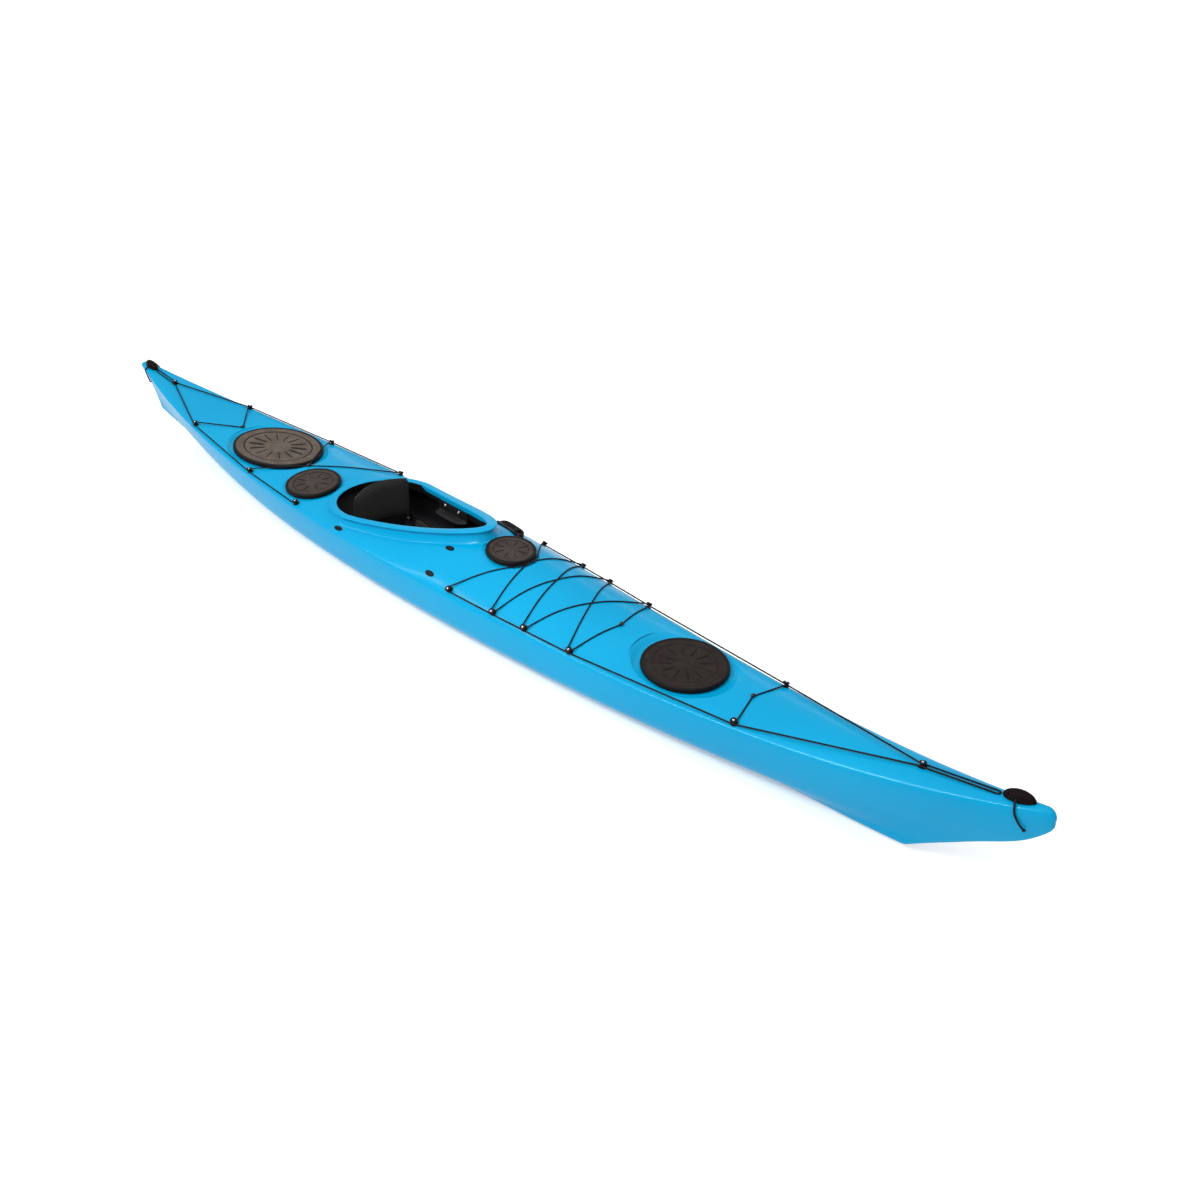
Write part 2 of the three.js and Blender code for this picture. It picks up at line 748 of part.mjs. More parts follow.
// Seat: a bucket pan on two feet that stand on the hull's floor
function seatAt(x) {
  const share = Math.min(1, Math.max(0, (x - seatRear) / (seatFront - seatRear)));
  let i = 0;
  while (i < seatShares.length - 2 && share > seatShares[i + 1][0]) i += 1;
  const [[startAt, startSide, startLift], [endAt, endSide, endLift]] = seatShares.slice(i, i + 2);
  const t = (share - startAt) / (endAt - startAt);
  return { side: startSide + (endSide - startSide) * t, lift: startLift + (endLift - startLift) * t };
}

function seatSection(x, inset) {
  const { side, lift } = seatAt(x);
  return seatSectionShares.map(([width, height]) =>
    vec(
      x,
      width * (seatHalfWidth - inset),
      seatPanHeight + seatFrontLift * lift + inset * (1 - height) + height * seatSideHeight * side,
    ),
  );
}

// The height of the seat's floor at a distance from the centreline
function seatFloorAt(x, y) {
  const section = seatSection(x, seatShell);
  const across = Math.min(Math.abs(y), section[section.length - 1].y);
  let i = 0;
  while (i < section.length - 2 && across > section[i + 1].y) i += 1;
  const t = (across - section[i].y) / (section[i + 1].y - section[i].y);
  return section[i].z + (section[i + 1].z - section[i].z) * t;
}

// The pan's surface from the top of its port side to the top of its starboard side, and the space inside it
const seatStations = seatShares.map(([along]) => seatRear + along * (seatFront - seatRear));

function seatAcross(x, inset) {
  const port = seatSection(x, inset);
  return [...port.toReversed(), ...port.slice(1).map((point) => vec(point.x, -point.y, point.z))];
}

const seatInside = () => loft(seatStations.map((x) => seatAcross(x, seatShell + seatGap)));

function seatPan() {
  const rings = seatStations.map((x) => [...seatAcross(x, 0).reverse(), ...seatAcross(x, seatShell)]);
  const feet = [1, -1].map((side) =>
    block(
      seatRear + seatFootWidth,
      seatFront - seatFootWidth,
      side * seatFootOut - seatFootWidth / 2,
      side * seatFootOut + seatFootWidth / 2,
      0,
      seatPanHeight + seatShell,
    ).intersect(hullInside),
  );
  const pins = [1, -1].map((side) =>
    cylinderAcross(
      backrestPivotX,
      backrestPivotZ,
      backrestPinRadius,
      side * (backrestArmInner - seatGap),
      side * (seatHalfWidth - seatShell / 2),
      pinFacets,
    ),
  );
  return joined([loft(rings), ...feet, ...pins]);
}

// A cushion that follows the pan, with a crown and drawn-in sides
function seatCushion() {
  const centre = (seatRear + seatFront) / 2;
  const round = (value) => Math.sign(value) * Math.abs(value) ** cushionSquarePower;
  const rings = cushionShares.map(([height, outline]) =>
    Array.from({ length: cushionFacets }, (_, i) => {
      const angle = (i / cushionFacets) * 2 * Math.PI;
      const x = centre + cushionHalfLength * outline * round(Math.cos(angle));
      const y = cushionHalfWidth * outline * round(Math.sin(angle));
      const low = seatFloorAt(x, y) + seatGap;
      const high = seatFloorAt(x, 0) + cushionHeight;
      return vec(x, y, low + (high - low) * height);
    }),
  );
  return loft(rings).intersect(seatInside());
}

function hipPad(side) {
  const start = backrestPivotX + 3 * backrestArmRadius;
  const rings = hipPadShares.map((along) => {
    const x = start + along * hipPadLength;
    const [low, high] = seatSection(x, seatShell + seatGap).slice(-2);
    const middle = low.clone().lerp(high, 0.5);
    const across = (point, share) => point.clone().sub(vec(0, hipPadThickness * share, 0));
    const outer = [across(low, -padCrown / 2), across(high, -padCrown / 2)];
    const inner = [across(high, 1), across(middle, padCrown), across(low, 1)];
    return [...outer, ...inner].map((point) => vec(point.x, side * point.y, point.z));
  });
  return loft(rings).intersect(seatInside());
}

// Backrest: a curved plate on two arms that turn on the seat's pins, and the pad on its front
function backrestPlate(front, thickness, drop, taper) {
  const rings = backrestStationShares.map((share) => {
    const y = share * (backrestHalfWidth - drop);
    const reach = y / backrestHalfWidth;
    const x = backrestPivotX - backrestSetBack * (1 - reach ** 2) + front;
    const thick = thickness * (1 - taper * share ** 4);
    const top = backrestTop - drop - backrestShoulderDrop * reach ** 4;
    const bottom = backrestBottom + drop;
    const middle = (top + bottom) / 2;
    return [
      vec(x, y, bottom),
      vec(x + thick * (1 - taper), y, bottom),
      vec(x + thick + backrestLean / 2, y, middle),
      vec(x + thick * (1 - taper) + backrestLean, y, top),
      vec(x + backrestLean, y, top),
      vec(x + backrestLean / 2, y, middle),
    ];
  });
  return loft(rings);
}

function backrestShellSolid() {
  const outer = backrestArmInner + backrestArmThickness;
  const low = backrestPivotX - backrestArmRadius;
  const high = backrestPivotX + backrestArmRadius;
  const bridge = backrestPivotZ + backrestArmRadius + backrestArmThickness;
  const onSide = (side, from, to) => [Math.min(side * from, side * to), Math.max(side * from, side * to)];
  const arms = [1, -1].flatMap((side) => [
    cylinderAcross(backrestPivotX, backrestPivotZ, backrestArmRadius, side * backrestArmInner, side * outer, 16),
    block(low, high, ...onSide(side, backrestArmInner, outer), backrestPivotZ, bridge),
    block(
      low,
      high,
      ...onSide(side, backrestHalfWidth - backrestArmThickness, outer),
      bridge - backrestArmThickness,
      bridge + backrestArmThickness,
    ),
  ]);
  const bore = cylinderAcross(
    backrestPivotX,
    backrestPivotZ,
    backrestPinRadius + seatGap,
    -seatHalfWidth,
    seatHalfWidth,
    pinFacets,
  );
  return joined([backrestPlate(0, backrestShell, 0, 0), ...arms]).subtract(bore);
}

function backrestPadSolid() {
  const rough = backrestPlate(backrestShell / 2, backrestPad, backrestPadDrop, padTaper);
  return rough.subtract(backrestPlate(-backrestPad, backrestPad + backrestShell + seatGap, 0, 0));
}

// Thigh brace: a plate down the inside of the coaming, with a hook that reaches in over the thigh
function thighBrace(side) {
  const profile = [
    [-seatGap, braceTopDrop],
    [-seatGap, braceDepth],
    [-braceHook, braceDepth + bracePlate],
    [-braceHook, braceDepth],
    [-seatGap - bracePlate, braceDepth - bracePlate],
    [-seatGap - bracePlate, braceTopDrop],
  ];
  const stations = cockpitOutline(coamingStations).filter(
    ({ point }) => point.y * side > 0 && point.x > braceRear && point.x < braceFront,
  );
  const rings = stations.map(({ point, normal }) =>
    profile.map(([offset, down]) => {
      const place = point.clone().addScaledVector(normal, offset);
      return vec(place.x, place.y, rimTopAt(point.x) - down);
    }),
  );
  return loft(rings);
}

// Foot rails follow the hull's sides, and a peg slides on each
function railFrame(side) {
  const outAt = (x) => halfWidthAt(x, railCentreHeight) - hullWall - seatGap;
  const rear = vec(railRear, side * outAt(railRear), railCentreHeight);
  const front = vec(railRear + railLength, side * outAt(railRear + railLength), railCentreHeight);
  const along = front.sub(rear).normalize();
  const up = vec(0, 0, side);
  return new THREE.Matrix4().makeBasis(along, up.clone().cross(along), up).setPosition(rear);
}

function footRail(side) {
  const bar = block(0, railLength, -railDepth, railDepth / 2, -railHeight / 2, railHeight / 2);
  return placed(bar, railFrame(side)).intersect(hullInside);
}

function footPeg(side) {
  const middle = pegX - railRear;
  const [low, high] = [middle - pegLength / 2, middle + pegLength / 2];
  const face = -railDepth - runningGap;
  const edge = railHeight / 2 + runningGap;
  const back = face - pegCarriageWall;
  const lip = -railDepth * pegLipShare;
  const plate = pegPlateThickness / 2;
  const solids = [
    block(low, high, back, face, -edge - pegCarriageWall, edge + pegCarriageWall),
    block(low, high, back, lip, edge, edge + pegCarriageWall),
    block(low, high, back, lip, -edge - pegCarriageWall, -edge),
    block(low, low + pegPlateThickness, face - pegPlateWidth, face - pegCarriageWall / 2, -pegPlateHeight / 2, pegPlateHeight / 2),
    block(low, high, face - pegPlateWidth / 2, face - pegCarriageWall / 2, -plate, plate),
  ];
  return placed(joined(solids), railFrame(side));
}

// Skeg: a blade in a slotted box on the keel, turning on the box's pin
const skegPivotZ = keelAt(skegPivotX) + skegPivotLift;
const skegBoxFront = skegPivotX + skegNoseRadius + skegBoxMargin;
const skegBoxRear = skegPivotX - skegBladeLength - skegBoxMargin;
const skegBoxTop = skegPivotZ + skegBladeHeight + 2 * skegBoxMargin;

function skegSlot(highest) {
  return block(skegBoxRear, skegBoxFront, -skegBoxInside / 2, skegBoxInside / 2, -hullWall, highest);
}

function skegBox() {
  const wall = skegBoxWall;
  const half = skegBoxInside / 2 + wall;
  const box = block(skegBoxRear - wall, skegBoxFront + wall, -half, half, 0, skegBoxTop + wall);
  const pin = cylinderAcross(skegPivotX, skegPivotZ, skegPinRadius, -half, half, pinFacets);
  return box.intersect(hullInside).subtract(skegSlot(skegBoxTop)).add(pin);
}

function skegBlade() {
  const tail = skegPivotX - skegBladeLength;
  const tilt = Math.atan2(keelAt(tail) - keelAt(skegPivotX), skegBladeLength);
  const shape = new THREE.Shape(
    skegBladeShares.map(([aft, up]) => new THREE.Vector2(-aft * skegBladeLength, up * skegBladeHeight)),
  );
  const bevel = skegBladeThickness / 3;
  const flat = new THREE.ExtrudeGeometry(shape, {
    depth: skegBladeThickness - 2 * bevel,
    bevelThickness: bevel,
    bevelSize: bevel,
    bevelOffset: -bevel,
    bevelSegments: 1,
  });
  flat.rotateX(Math.PI / 2).translate(0, skegBladeThickness / 2 - bevel, 0);
  const half = skegBladeThickness / 2;
  const nose = cylinderAcross(0, 0, skegNoseRadius, -half, half, 18);
  const bore = cylinderAcross(0, 0, skegPinRadius + seatGap, -2 * half, 2 * half, pinFacets);
  const matrix = new THREE.Matrix4().makeRotationY(tilt).setPosition(skegPivotX, 0, skegPivotZ);
  return placed(toSolid(flat).add(nose).subtract(bore), matrix);
}

// Skeg slider on the deck, and the cable between it and the skeg box
function sliderFrame() {
  const turn = new THREE.Matrix4().makeRotationZ(sliderAngle);
  return deckFrame(sliderX, sliderY, sliderLength / 4, sliderWidth / 2, 0).multiply(turn);
}

function stadium(halfLong, halfWide, low, high) {
  const ends = [1, -1].map((side) =>
    ovalDisc(0, low, high, halfWide, halfWide, 16).translate([side * (halfLong - halfWide), 0, 0]),
  );
  return joined([block(halfWide - halfLong, halfLong - halfWide, -halfWide, halfWide, low, high), ...ends]);
}

function sliderTrack() {
  const plate = stadium(sliderLength / 2, sliderWidth / 2, -sliderWidth, sliderRise);
  const slotLength = sliderTravel / 2 + knobLength / 2;
  const slot = stadium(slotLength, sliderSlotWidth / 2, sliderRise - sliderSlotDepth, 2 * sliderRise);
  return placed(plate.subtract(slot), sliderFrame()).subtract(hullSolid(-seatGap));
}

function sliderKnob() {
  const foot = sliderRise - sliderSlotDepth + seatGap;
  const stem = stadium(knobStem / 2, sliderSlotWidth / 2 - runningGap, foot, sliderRise + knobHeight / 2);
  const cap = stadium(knobLength / 2, knobWidth / 2, sliderRise + runningGap, sliderRise + knobHeight);
  return placed(joined([stem, cap]).translate([sliderTravel / 2, 0, 0]), sliderFrame());
}

// The cable leaves the skeg box, runs forward under the port side deck, and rises to the slider
function cableRoute() {
  const clear = hullWall + 2 * cableRadius;
  const height = sheerHeight - cableDrop;
  const boxEnd = skegBoxFront + skegBoxWall + seatGap;
  const atBox = skegPivotZ + skegBladeHeight / 2;
  const bendEnd = skegPivotX + cableBend[cableBend.length - 1].ahead;
  const along = cableStations.filter((x) => x > bendEnd + clear);
  const side = along.map((x) => vec(x, halfWidthAt(x, height) - clear, height));
  const rising = cableRise.map(({ x, y, under }) => vec(x, y, deckAt(x, y) - hullWall - under));
  const bend = cableBend.map(({ ahead, y, rise }) => vec(skegPivotX + ahead, y, atBox + rise));
  return [vec(boxEnd, 0, atBox), ...bend, ...side, ...rising];
}

// What the deck pieces and the cords rest on
const hatchCovers = new Map(hatches.map((hatch) => [hatch.name, hatchCover(hatch)]));
const landing = [outerHull, ...hatchCovers.values()].map(
  (solid) => new THREE.Mesh(toGeometry(solid), new THREE.MeshBasicMaterial()),
);
const plumb = new THREE.Raycaster();

function landAt(x, y) {
  plumb.set(vec(x, y, bowSheerHeight + cutOverrun), vec(0, 0, -1));
  const [hit] = plumb.intersectObjects(landing);
  return { height: hit.point.z, upward: hit.face.normal.z };
}

// A frame that rests on the deck: its Z axis square to the deck over the reach given
function restingFrame(x, y, reachX, reachY) {
  const at = (dx, dy) => landAt(x + dx, y + dy).height;
  const middle = at(0, 0);
  const slopeX = (at(reachX, 0) - at(-reachX, 0)) / (2 * reachX);
  const slopeY = (at(0, reachY) - at(0, -reachY)) / (2 * reachY);
  const proud = restShares.map(([dx, dy]) => {
    const [aside, across] = [dx * reachX, dy * reachY];
    return at(aside, across) - middle - slopeX * aside - slopeY * across;
  });
  const lift = Math.max(0, ...proud) + seatGap / 2;
  const up = vec(-slopeX, -slopeY, 1).normalize();
  const along = vec(1, 0, slopeX).normalize();
  return new THREE.Matrix4().makeBasis(along, up.clone().cross(along), up).setPosition(x, y, middle + lift);
}

// Deck fittings: a base, a post that the cords pass, and a cap
const deckLineLift = seatGap + fittingBaseHeight + cordGap + deckLineRadius;
const bungeeLift = deckLineLift + deckLineRadius + cordGap + bungeeRadius;
const fittingCapUnder = bungeeLift + bungeeRadius + cordGap - seatGap;
const fittingFrame = ({ x, y }) => restingFrame(x, y, fittingBaseRadius, fittingBaseRadius);

function deckFitting(place) {
  const top = fittingCapUnder + fittingCapHeight;
  const profile = [
    [0, 0],
    [fittingBaseRadius, 0],
    [fittingPostRadius, fittingBaseHeight],
    [fittingPostRadius, fittingCapUnder],
    [fittingCapRadius, fittingCapUnder],
    [fittingCapRadius, fittingCapUnder + fittingCapHeight / 2],
    [fittingCapRadius / 2, top],
    [0, top],
  ];
  return placed(turned(profile, fittingFacets).translate([0, 0, seatGap]), fittingFrame(place));
}

const gunwale = (x, side) => ({ x, y: side * (halfBeamAt(x) - fittingInset) });
const fittings = {
  bow_centre_fitting: { x: halfLength - bowCentreSetback, y: 0 },
  stern_centre_fitting: { x: sternCentreSetback - halfLength, y: 0 },
};
Object.entries({ starboard: -1, port: 1 }).forEach(([sideName, side]) => {
  foredeckStations.forEach((x, i) => {
    fittings["foredeck_fitting_" + (i + 1) + "_" + sideName] = gunwale(x, side);
  });
  fittings["bow_fitting_" + sideName] = gunwale(bowStation, side);
  aftStations[sideName].forEach((x, i) => {
    fittings["aft_fitting_" + (i + 1) + "_" + sideName] = gunwale(x, side);
  });
});

// The points where a cord goes round a post, on the side away from the stops before and after it
function roundPost(post, before, after, radius, lift, endHand) {
  const towards = (stop) => Math.atan2(stop.y - post.y, stop.x - post.x);
  const apart = towards(after) - towards(before);
  const between = Math.atan2(Math.sin(apart), Math.cos(apart));
  const turnHand = between < 0 ? -1 : 1;
  const hand = before === after ? endHand * Math.sign(post.y * Math.cos(towards(after))) : turnHand;
  const start = towards(before) - (hand * Math.PI) / 2;
  const sweep = -hand * (Math.PI - Math.abs(between));
  const steps = Math.ceil(Math.abs(sweep) / wrapStep);
  const frame = fittingFrame(post);
  return Array.from({ length: steps + 1 }, (_, i) => {
    const angle = start + (steps ? (sweep * i) / steps : 0);
    return vec(radius * Math.cos(angle), radius * Math.sin(angle), lift).applyMatrix4(frame);
  });
}

// Keeps the points that a chain needs to stay within the sag allowed
function thinned(chain) {
  const isStraight = (run) => {
    const [a, c] = [run[0], run[run.length - 1]];
    return run.slice(1, -1).every((b) => {
      const share = Math.hypot(b.x - a.x, b.y - a.y) / Math.hypot(c.x - a.x, c.y - a.y);
      return Math.abs(b.z - a.z - (c.z - a.z) * share) < cordSag;
    });
  };
  const kept = [chain[0]];
  let from = 0;
  while (from < chain.length - 1) {
    let to = from + 1;
    while (to + 1 < chain.length && isStraight(chain.slice(from, to + 2))) to += 1;
    kept.push(chain[to]);
    from = to;
  }
  return kept;
}

// A taut run between two points: it touches what stands highest under it
function tautRun(start, end, radius) {
  const steps = Math.ceil(start.distanceTo(end) / cordStep);
  const chain = [start];
  const isUnder = (a, b, c) => {
    const share = Math.hypot(b.x - a.x, b.y - a.y) / Math.hypot(c.x - a.x, c.y - a.y);
    return b.z < a.z + (c.z - a.z) * share;
  };
  for (let i = 1; i <= steps; i += 1) {
    const place = start.clone().lerp(end, i / steps);
    if (i < steps) {
      const { height, upward } = landAt(place.x, place.y);
      place.z = height + (radius + seatGap) / Math.max(upward, steepest) + seatGap;
    }
    while (chain.length > 1 && isUnder(chain[chain.length - 2], chain[chain.length - 1], place)) chain.pop();
    chain.push(place);
  }
  return thinned(chain).slice(1, -1);
}

// A cord's points past its stops: fittings by name, or free places. At its end posts it leaves outboard or inboard
function cordRoute(stops, radius, lift, leaves) {
  const places = stops.map((stop) => fittings[stop] ?? stop);
  const groups = places.map((place, i) => {
    if (fittings[stops[i]]) {
      const before = places[i - 1] ?? places[i + 1];
      const after = places[i + 1] ?? places[i - 1];
      const endHand = i === 0 ? leaves : -leaves;
      return roundPost(place, before, after, fittingPostRadius + cordGap + radius, lift, endHand);
    }
    const { height, upward } = landAt(place.x, place.y);
    const rest = (radius + seatGap) / Math.max(upward, steepest) + seatGap;
    return [vec(place.x, place.y, height + Math.max(rest, place.lift ?? 0))];
  });
  return groups.flatMap((group, i) => {
    if (i === 0) return group;
    const last = groups[i - 1][groups[i - 1].length - 1];
    return [...tautRun(last, group[0], radius), ...group];
  });
}

const bead = ({ x, y }) => {
  const centre = landAt(x, y).height + beadRadius + 2 * seatGap;
  const ball = new THREE.SphereGeometry(beadRadius, 10, 8).scale(1, beadLength / (2 * beadRadius), 1);
  return toSolid(ball).translate([x, y, centre]);
};

// Deck lines: one loop at each end, past the fittings and round in front of the toggle
function deckLine(toggleX, centre, stopsOn) {
  const ahead = Math.sign(toggleX);
  const beside = fittingPostRadius + cordGap + deckLineRadius;
  const turn = toggleX - ahead * (toggleHalfLength + 4 * deckLineRadius + beside);
  const lift = deckLineLift + seatGap;
  const port = [
    { x: centre.x - ahead * fittingBaseRadius, y: beside, lift },
    { x: centre.x + ahead * fittingBaseRadius, y: beside, lift },
    { x: turn, y: beside },
    { x: turn + ahead * beside * Math.SQRT1_2, y: beside * Math.SQRT1_2 },
  ];
  const starboard = port.map((stop) => ({ ...stop, y: -stop.y })).reverse();
  const tip = { x: turn + ahead * beside, y: 0 };
  const stops = [...stopsOn("port"), ...port, tip, ...starboard, ...stopsOn("starboard").reverse()];
  return cord(cordRoute(stops, deckLineRadius, deckLineLift, 1), deckLineRadius, cordSides);
}

const bungeeRun = (stops) => cord(cordRoute(stops, bungeeRadius, bungeeLift, -1), bungeeRadius, cordSides);

// The foremost bungee runs round the front of the pod's cover, crosses itself over the foredeck, and ends in a bead
function foredeckBungee() {
  const pod = hatches.find((hatch) => hatch.name === "pod");
  const reach = pod.halfLength + coverBead + bungeeRadius + 2 * cordGap;
  const crossings = foredeckCrossings.map((x) => ({ x, y: 0 }));
  const knot = { x: foredeckBeadX, y: 0 };
  const at = (station, side) => "foredeck_fitting_" + station + "_" + side;
  const half = (one, other, hand) => {
    const roundCover = coverTurns.map((angle) => ({
      x: pod.x + reach * Math.cos(angle),
      y: hand * reach * Math.sin(angle),
    }));
    const zigzag = [at(2, other), crossings[0], at(3, one), crossings[1], at(4, other), knot];
    return bungeeRun([at(1, one), ...roundCover, ...zigzag]);
  };
  return joined([half("starboard", "port", 1), half("port", "starboard", -1), bead(knot)]);
}

function hatchBungee() {
  const across = bungeeRun(["aft_fitting_2_starboard", hatchClip, "aft_fitting_1_port"]);
  return joined([across, bungeeRun(["aft_fitting_2_port", hatchClip]), bead(hatchClip)]);
}

function beadBungee(name, knotX) {
  const knot = { x: knotX, y: 0 };
  return bungeeRun([name + "_starboard", knot, name + "_port"]).add(bead(knot));
}

// Toggles: half domes that rest on the deck, each on a cord through a hole across the stem
const toggles = toggleEnds.map(({ name, end, setback, holeSetback, holeDrop }) => {
  const holeX = end * (halfLength - holeSetback);
  return { name, x: end * (halfLength - setback), hole: { x: holeX, z: sheerAt(holeX) - holeDrop } };
});
const toggleFrame = (x) => restingFrame(x, 0, toggleHalfLength, toggleHalfWidth / 2);

function toggle(x) {
  const ball = new THREE.SphereGeometry(toggleHalfWidth, 16, 10);
  ball.scale(toggleHalfLength / toggleHalfWidth, 1, toggleHeight / toggleHalfWidth);
  const hole = cylinderAcross(0, toggleHoleHeight, toggleHoleRadius, -2 * toggleHalfWidth, 2 * toggleHalfWidth, 10);
  const dome = toSolid(ball).trimByPlane([0, 0, 1], 0).subtract(hole);
  return placed(dome.translate([0, 0, seatGap]), toggleFrame(x));
}

const stemHole = ({ x, z }) => cylinderAcross(x, z, hullHoleRadius, -hullBeam, hullBeam, 12);

function toggleCord(x, hole) {
  const top = vec(0, 0, toggleHoleHeight + seatGap).applyMatrix4(toggleFrame(x));
  const clear = toggleCordRadius + 2 * runningGap;
  const mouth = halfWidthAt(hole.x, hole.z);
  const quarter = [0, 1, 2, 3].map((i) => (i / 3) * (Math.PI / 2));
  const over = quarter.map((t) =>
    vec(top.x, toggleHalfWidth + toggleBend * Math.sin(t), top.z - toggleBend * (1 - Math.cos(t))),
  );
  const into = quarter.map((t) =>
    vec(hole.x, mouth + toggleBend * Math.cos(t), hole.z + toggleBend * (1 - Math.sin(t))),
  );
  const edgeX = x + (hole.x - x) * toggleCordShares[0];
  const edge = vec(edgeX, halfBeamAt(edgeX) + clear, sheerAt(edgeX) + clear);
  const down = toggleCordShares.slice(1).map((share) => {
    const place = edge.clone().lerp(into[0], share);
    return vec(place.x, Math.max(place.y, halfWidthAt(place.x, place.z) + clear), place.z);
  });
  const port = [...over, edge, ...down, ...into];
  const starboard = port.map((point) => vec(point.x, -point.y, point.z)).reverse();
  const centre = [vec(hole.x, 0, hole.z), vec(top.x, 0, top.z)];
  return cord([centre[1], ...port, centre[0], ...starboard], toggleCordRadius, cordSides, { loop: true });
}

// Small recessed lashing points
function recess({ x, y }) {
  const spot = ovalDisc(0, -recessDepth, cutOverrun, recessHalfLength, recessHalfWidth, 14);
  return placed(spot, deckFrame(x, y, recessHalfLength, recessHalfWidth, 0));
}

function hullShell() {
  const moulded = hatches.reduce(sinkHatch, outerHull.subtract(hullSolid(hullWall)));
  const cuts = [...recesses.map(recess), ...toggles.map(({ hole }) => stemHole(hole))];
  const opened = moulded.subtract(cockpitCut()).add(coaming());
  return cuts.reduce((shell, cut) => shell.subtract(cut), opened.subtract(skegSlot(skegPivotZ)));
}

// The moulding in three sections, which butt together round the day and front bulkheads
function hullSections() {
  const shell = hullShell();
  const gap = seatGap / 2;
  const aheadOf = (solid, x) => solid.trimByPlane([1, 0, 0], x + gap);
  const behind = (solid, x) => solid.trimByPlane([-1, 0, 0], gap - x);
  return {
    stern: behind(shell, bulkheads.day),
    middle: behind(aheadOf(shell, bulkheads.day), bulkheads.front),
    bow: aheadOf(shell, bulkheads.front),
  };
}

// Every piece of the boat, each with a material of its own
const finishes = {
  hull: { color: 0x10a5e0, roughness: 0.28, metalness: 0 },
  rubber: { color: 0x5a4f49, roughness: 0.8, metalness: 0 },
  rim: { color: 0x17181a, roughness: 0.55, metalness: 0 },
  plastic: { color: 0x1b1c1e, roughness: 0.5, metalness: 0 },
  foam: { color: 0x222326, roughness: 0.95, metalness: 0 },
  cord: { color: 0x14151a, roughness: 0.85, metalness: 0 },
  metal: { color: 0xa9adb2, roughness: 0.35, metalness: 0.9 },
};
const kayak = new THREE.Group();
kayak.name = "sea_kayak";

function add(name, solid, finish) {
  const mesh = new THREE.Mesh(toGeometry(solid), new THREE.MeshStandardMaterial(finishes[finish]));
  mesh.name = name;
  kayak.add(mesh);
}

Object.entries(hullSections()).forEach(([name, section]) => add("hull_" + name, section, "hull"));
hatches.forEach((hatch) => {
  add(hatch.name + "_hatch_rim", hatchRim(hatch), "rim");
  add(hatch.name + "_hatch_cover", hatchCovers.get(hatch.name), "rubber");
});
Object.entries(bulkheads).forEach(([name, x]) => add(name + "_bulkhead", bulkhead(x), "plastic"));
add("pod_box", podTub(), "plastic");
add("seat_shell", seatPan(), "plastic");
add("seat_cushion", seatCushion(), "foam");
add("backrest_shell", backrestShellSolid(), "plastic");
add("backrest_pad", backrestPadSolid(), "foam");
Object.entries({ starboard: -1, port: 1 }).forEach(([sideName, side]) => {
  add("hip_pad_" + sideName, hipPad(side), "foam");
  add("thigh_brace_" + sideName, thighBrace(side), "plastic");
  add("foot_rail_" + sideName, footRail(side), "metal");
  add("foot_peg_" + sideName, footPeg(side), "plastic");
});
add("skeg_box", skegBox(), "plastic");
add("skeg_blade", skegBlade(), "plastic");
add("skeg_cable", cord(cableRoute(), cableRadius, cordSides), "plastic");
add("slider_track", sliderTrack(), "plastic");
add("slider_knob", sliderKnob(), "plastic");
toggles.forEach(({ name, x, hole }) => {
  add(name + "_toggle", toggle(x), "plastic");
  add(name + "_toggle_cord", toggleCord(x, hole), "cord");
});
Object.entries(fittings).forEach(([name, place]) => add(name, deckFitting(place), "plastic"));
const stations = (start, names) => (side) => names.map((name) => start + name + "_" + side);
const bowStops = stations("", ["foredeck_fitting_1", "foredeck_fitting_2", "foredeck_fitting_3", "foredeck_fitting_4", "bow_fitting"]);
const sternStops = stations("aft_fitting_", ["1", "2", "3"]);
const [bowToggle, sternToggle] = toggles;
add("bow_deck_line", deckLine(bowToggle.x, fittings.bow_centre_fitting, bowStops), "cord");
add("stern_deck_line", deckLine(sternToggle.x, fittings.stern_centre_fitting, sternStops), "cord");
add("foredeck_bungee", foredeckBungee(), "cord");
add("bow_bungee", beadBungee("bow_fitting", bowBeadX), "cord");
add("hatch_bungee", hatchBungee(), "cord");
add("stern_bungee", beadBungee("aft_fitting_3", sternBeadX), "cord");

export default kayak;
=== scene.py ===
# The looks of a moulded sea kayak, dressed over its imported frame. Lengths in this file are millimetres
# until a mesh is made; the pieces themselves are in metres, +X to the bow, +Y to port, +Z up.
import math
import bmesh
import bpy
import numpy as np
from mathutils import Matrix, Vector
from mathutils.bvhtree import BVHTree


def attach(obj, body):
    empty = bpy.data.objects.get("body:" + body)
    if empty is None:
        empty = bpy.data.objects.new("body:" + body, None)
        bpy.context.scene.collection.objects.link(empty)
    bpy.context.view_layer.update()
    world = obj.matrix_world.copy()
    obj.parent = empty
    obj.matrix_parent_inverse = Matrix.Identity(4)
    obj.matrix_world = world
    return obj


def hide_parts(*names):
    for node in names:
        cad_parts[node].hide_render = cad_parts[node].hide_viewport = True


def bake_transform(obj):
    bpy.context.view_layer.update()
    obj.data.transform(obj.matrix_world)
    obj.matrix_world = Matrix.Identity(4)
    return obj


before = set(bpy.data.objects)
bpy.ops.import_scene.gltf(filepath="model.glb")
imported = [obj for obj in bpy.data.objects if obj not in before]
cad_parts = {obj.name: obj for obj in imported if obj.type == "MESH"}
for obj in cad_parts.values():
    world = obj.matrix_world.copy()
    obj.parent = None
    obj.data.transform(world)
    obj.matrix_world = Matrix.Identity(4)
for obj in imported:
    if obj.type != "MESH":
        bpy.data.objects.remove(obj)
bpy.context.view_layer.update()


# Studio: a white sweep, soft boxes, and the camera that took the picture
# The boat lies on a pale floor under wide soft lamps, as in a catalogue picture. The camera stands off the
# starboard bow and looks down and aft.
camera_place = Vector((3.1705, -2.7523, 2.6111))
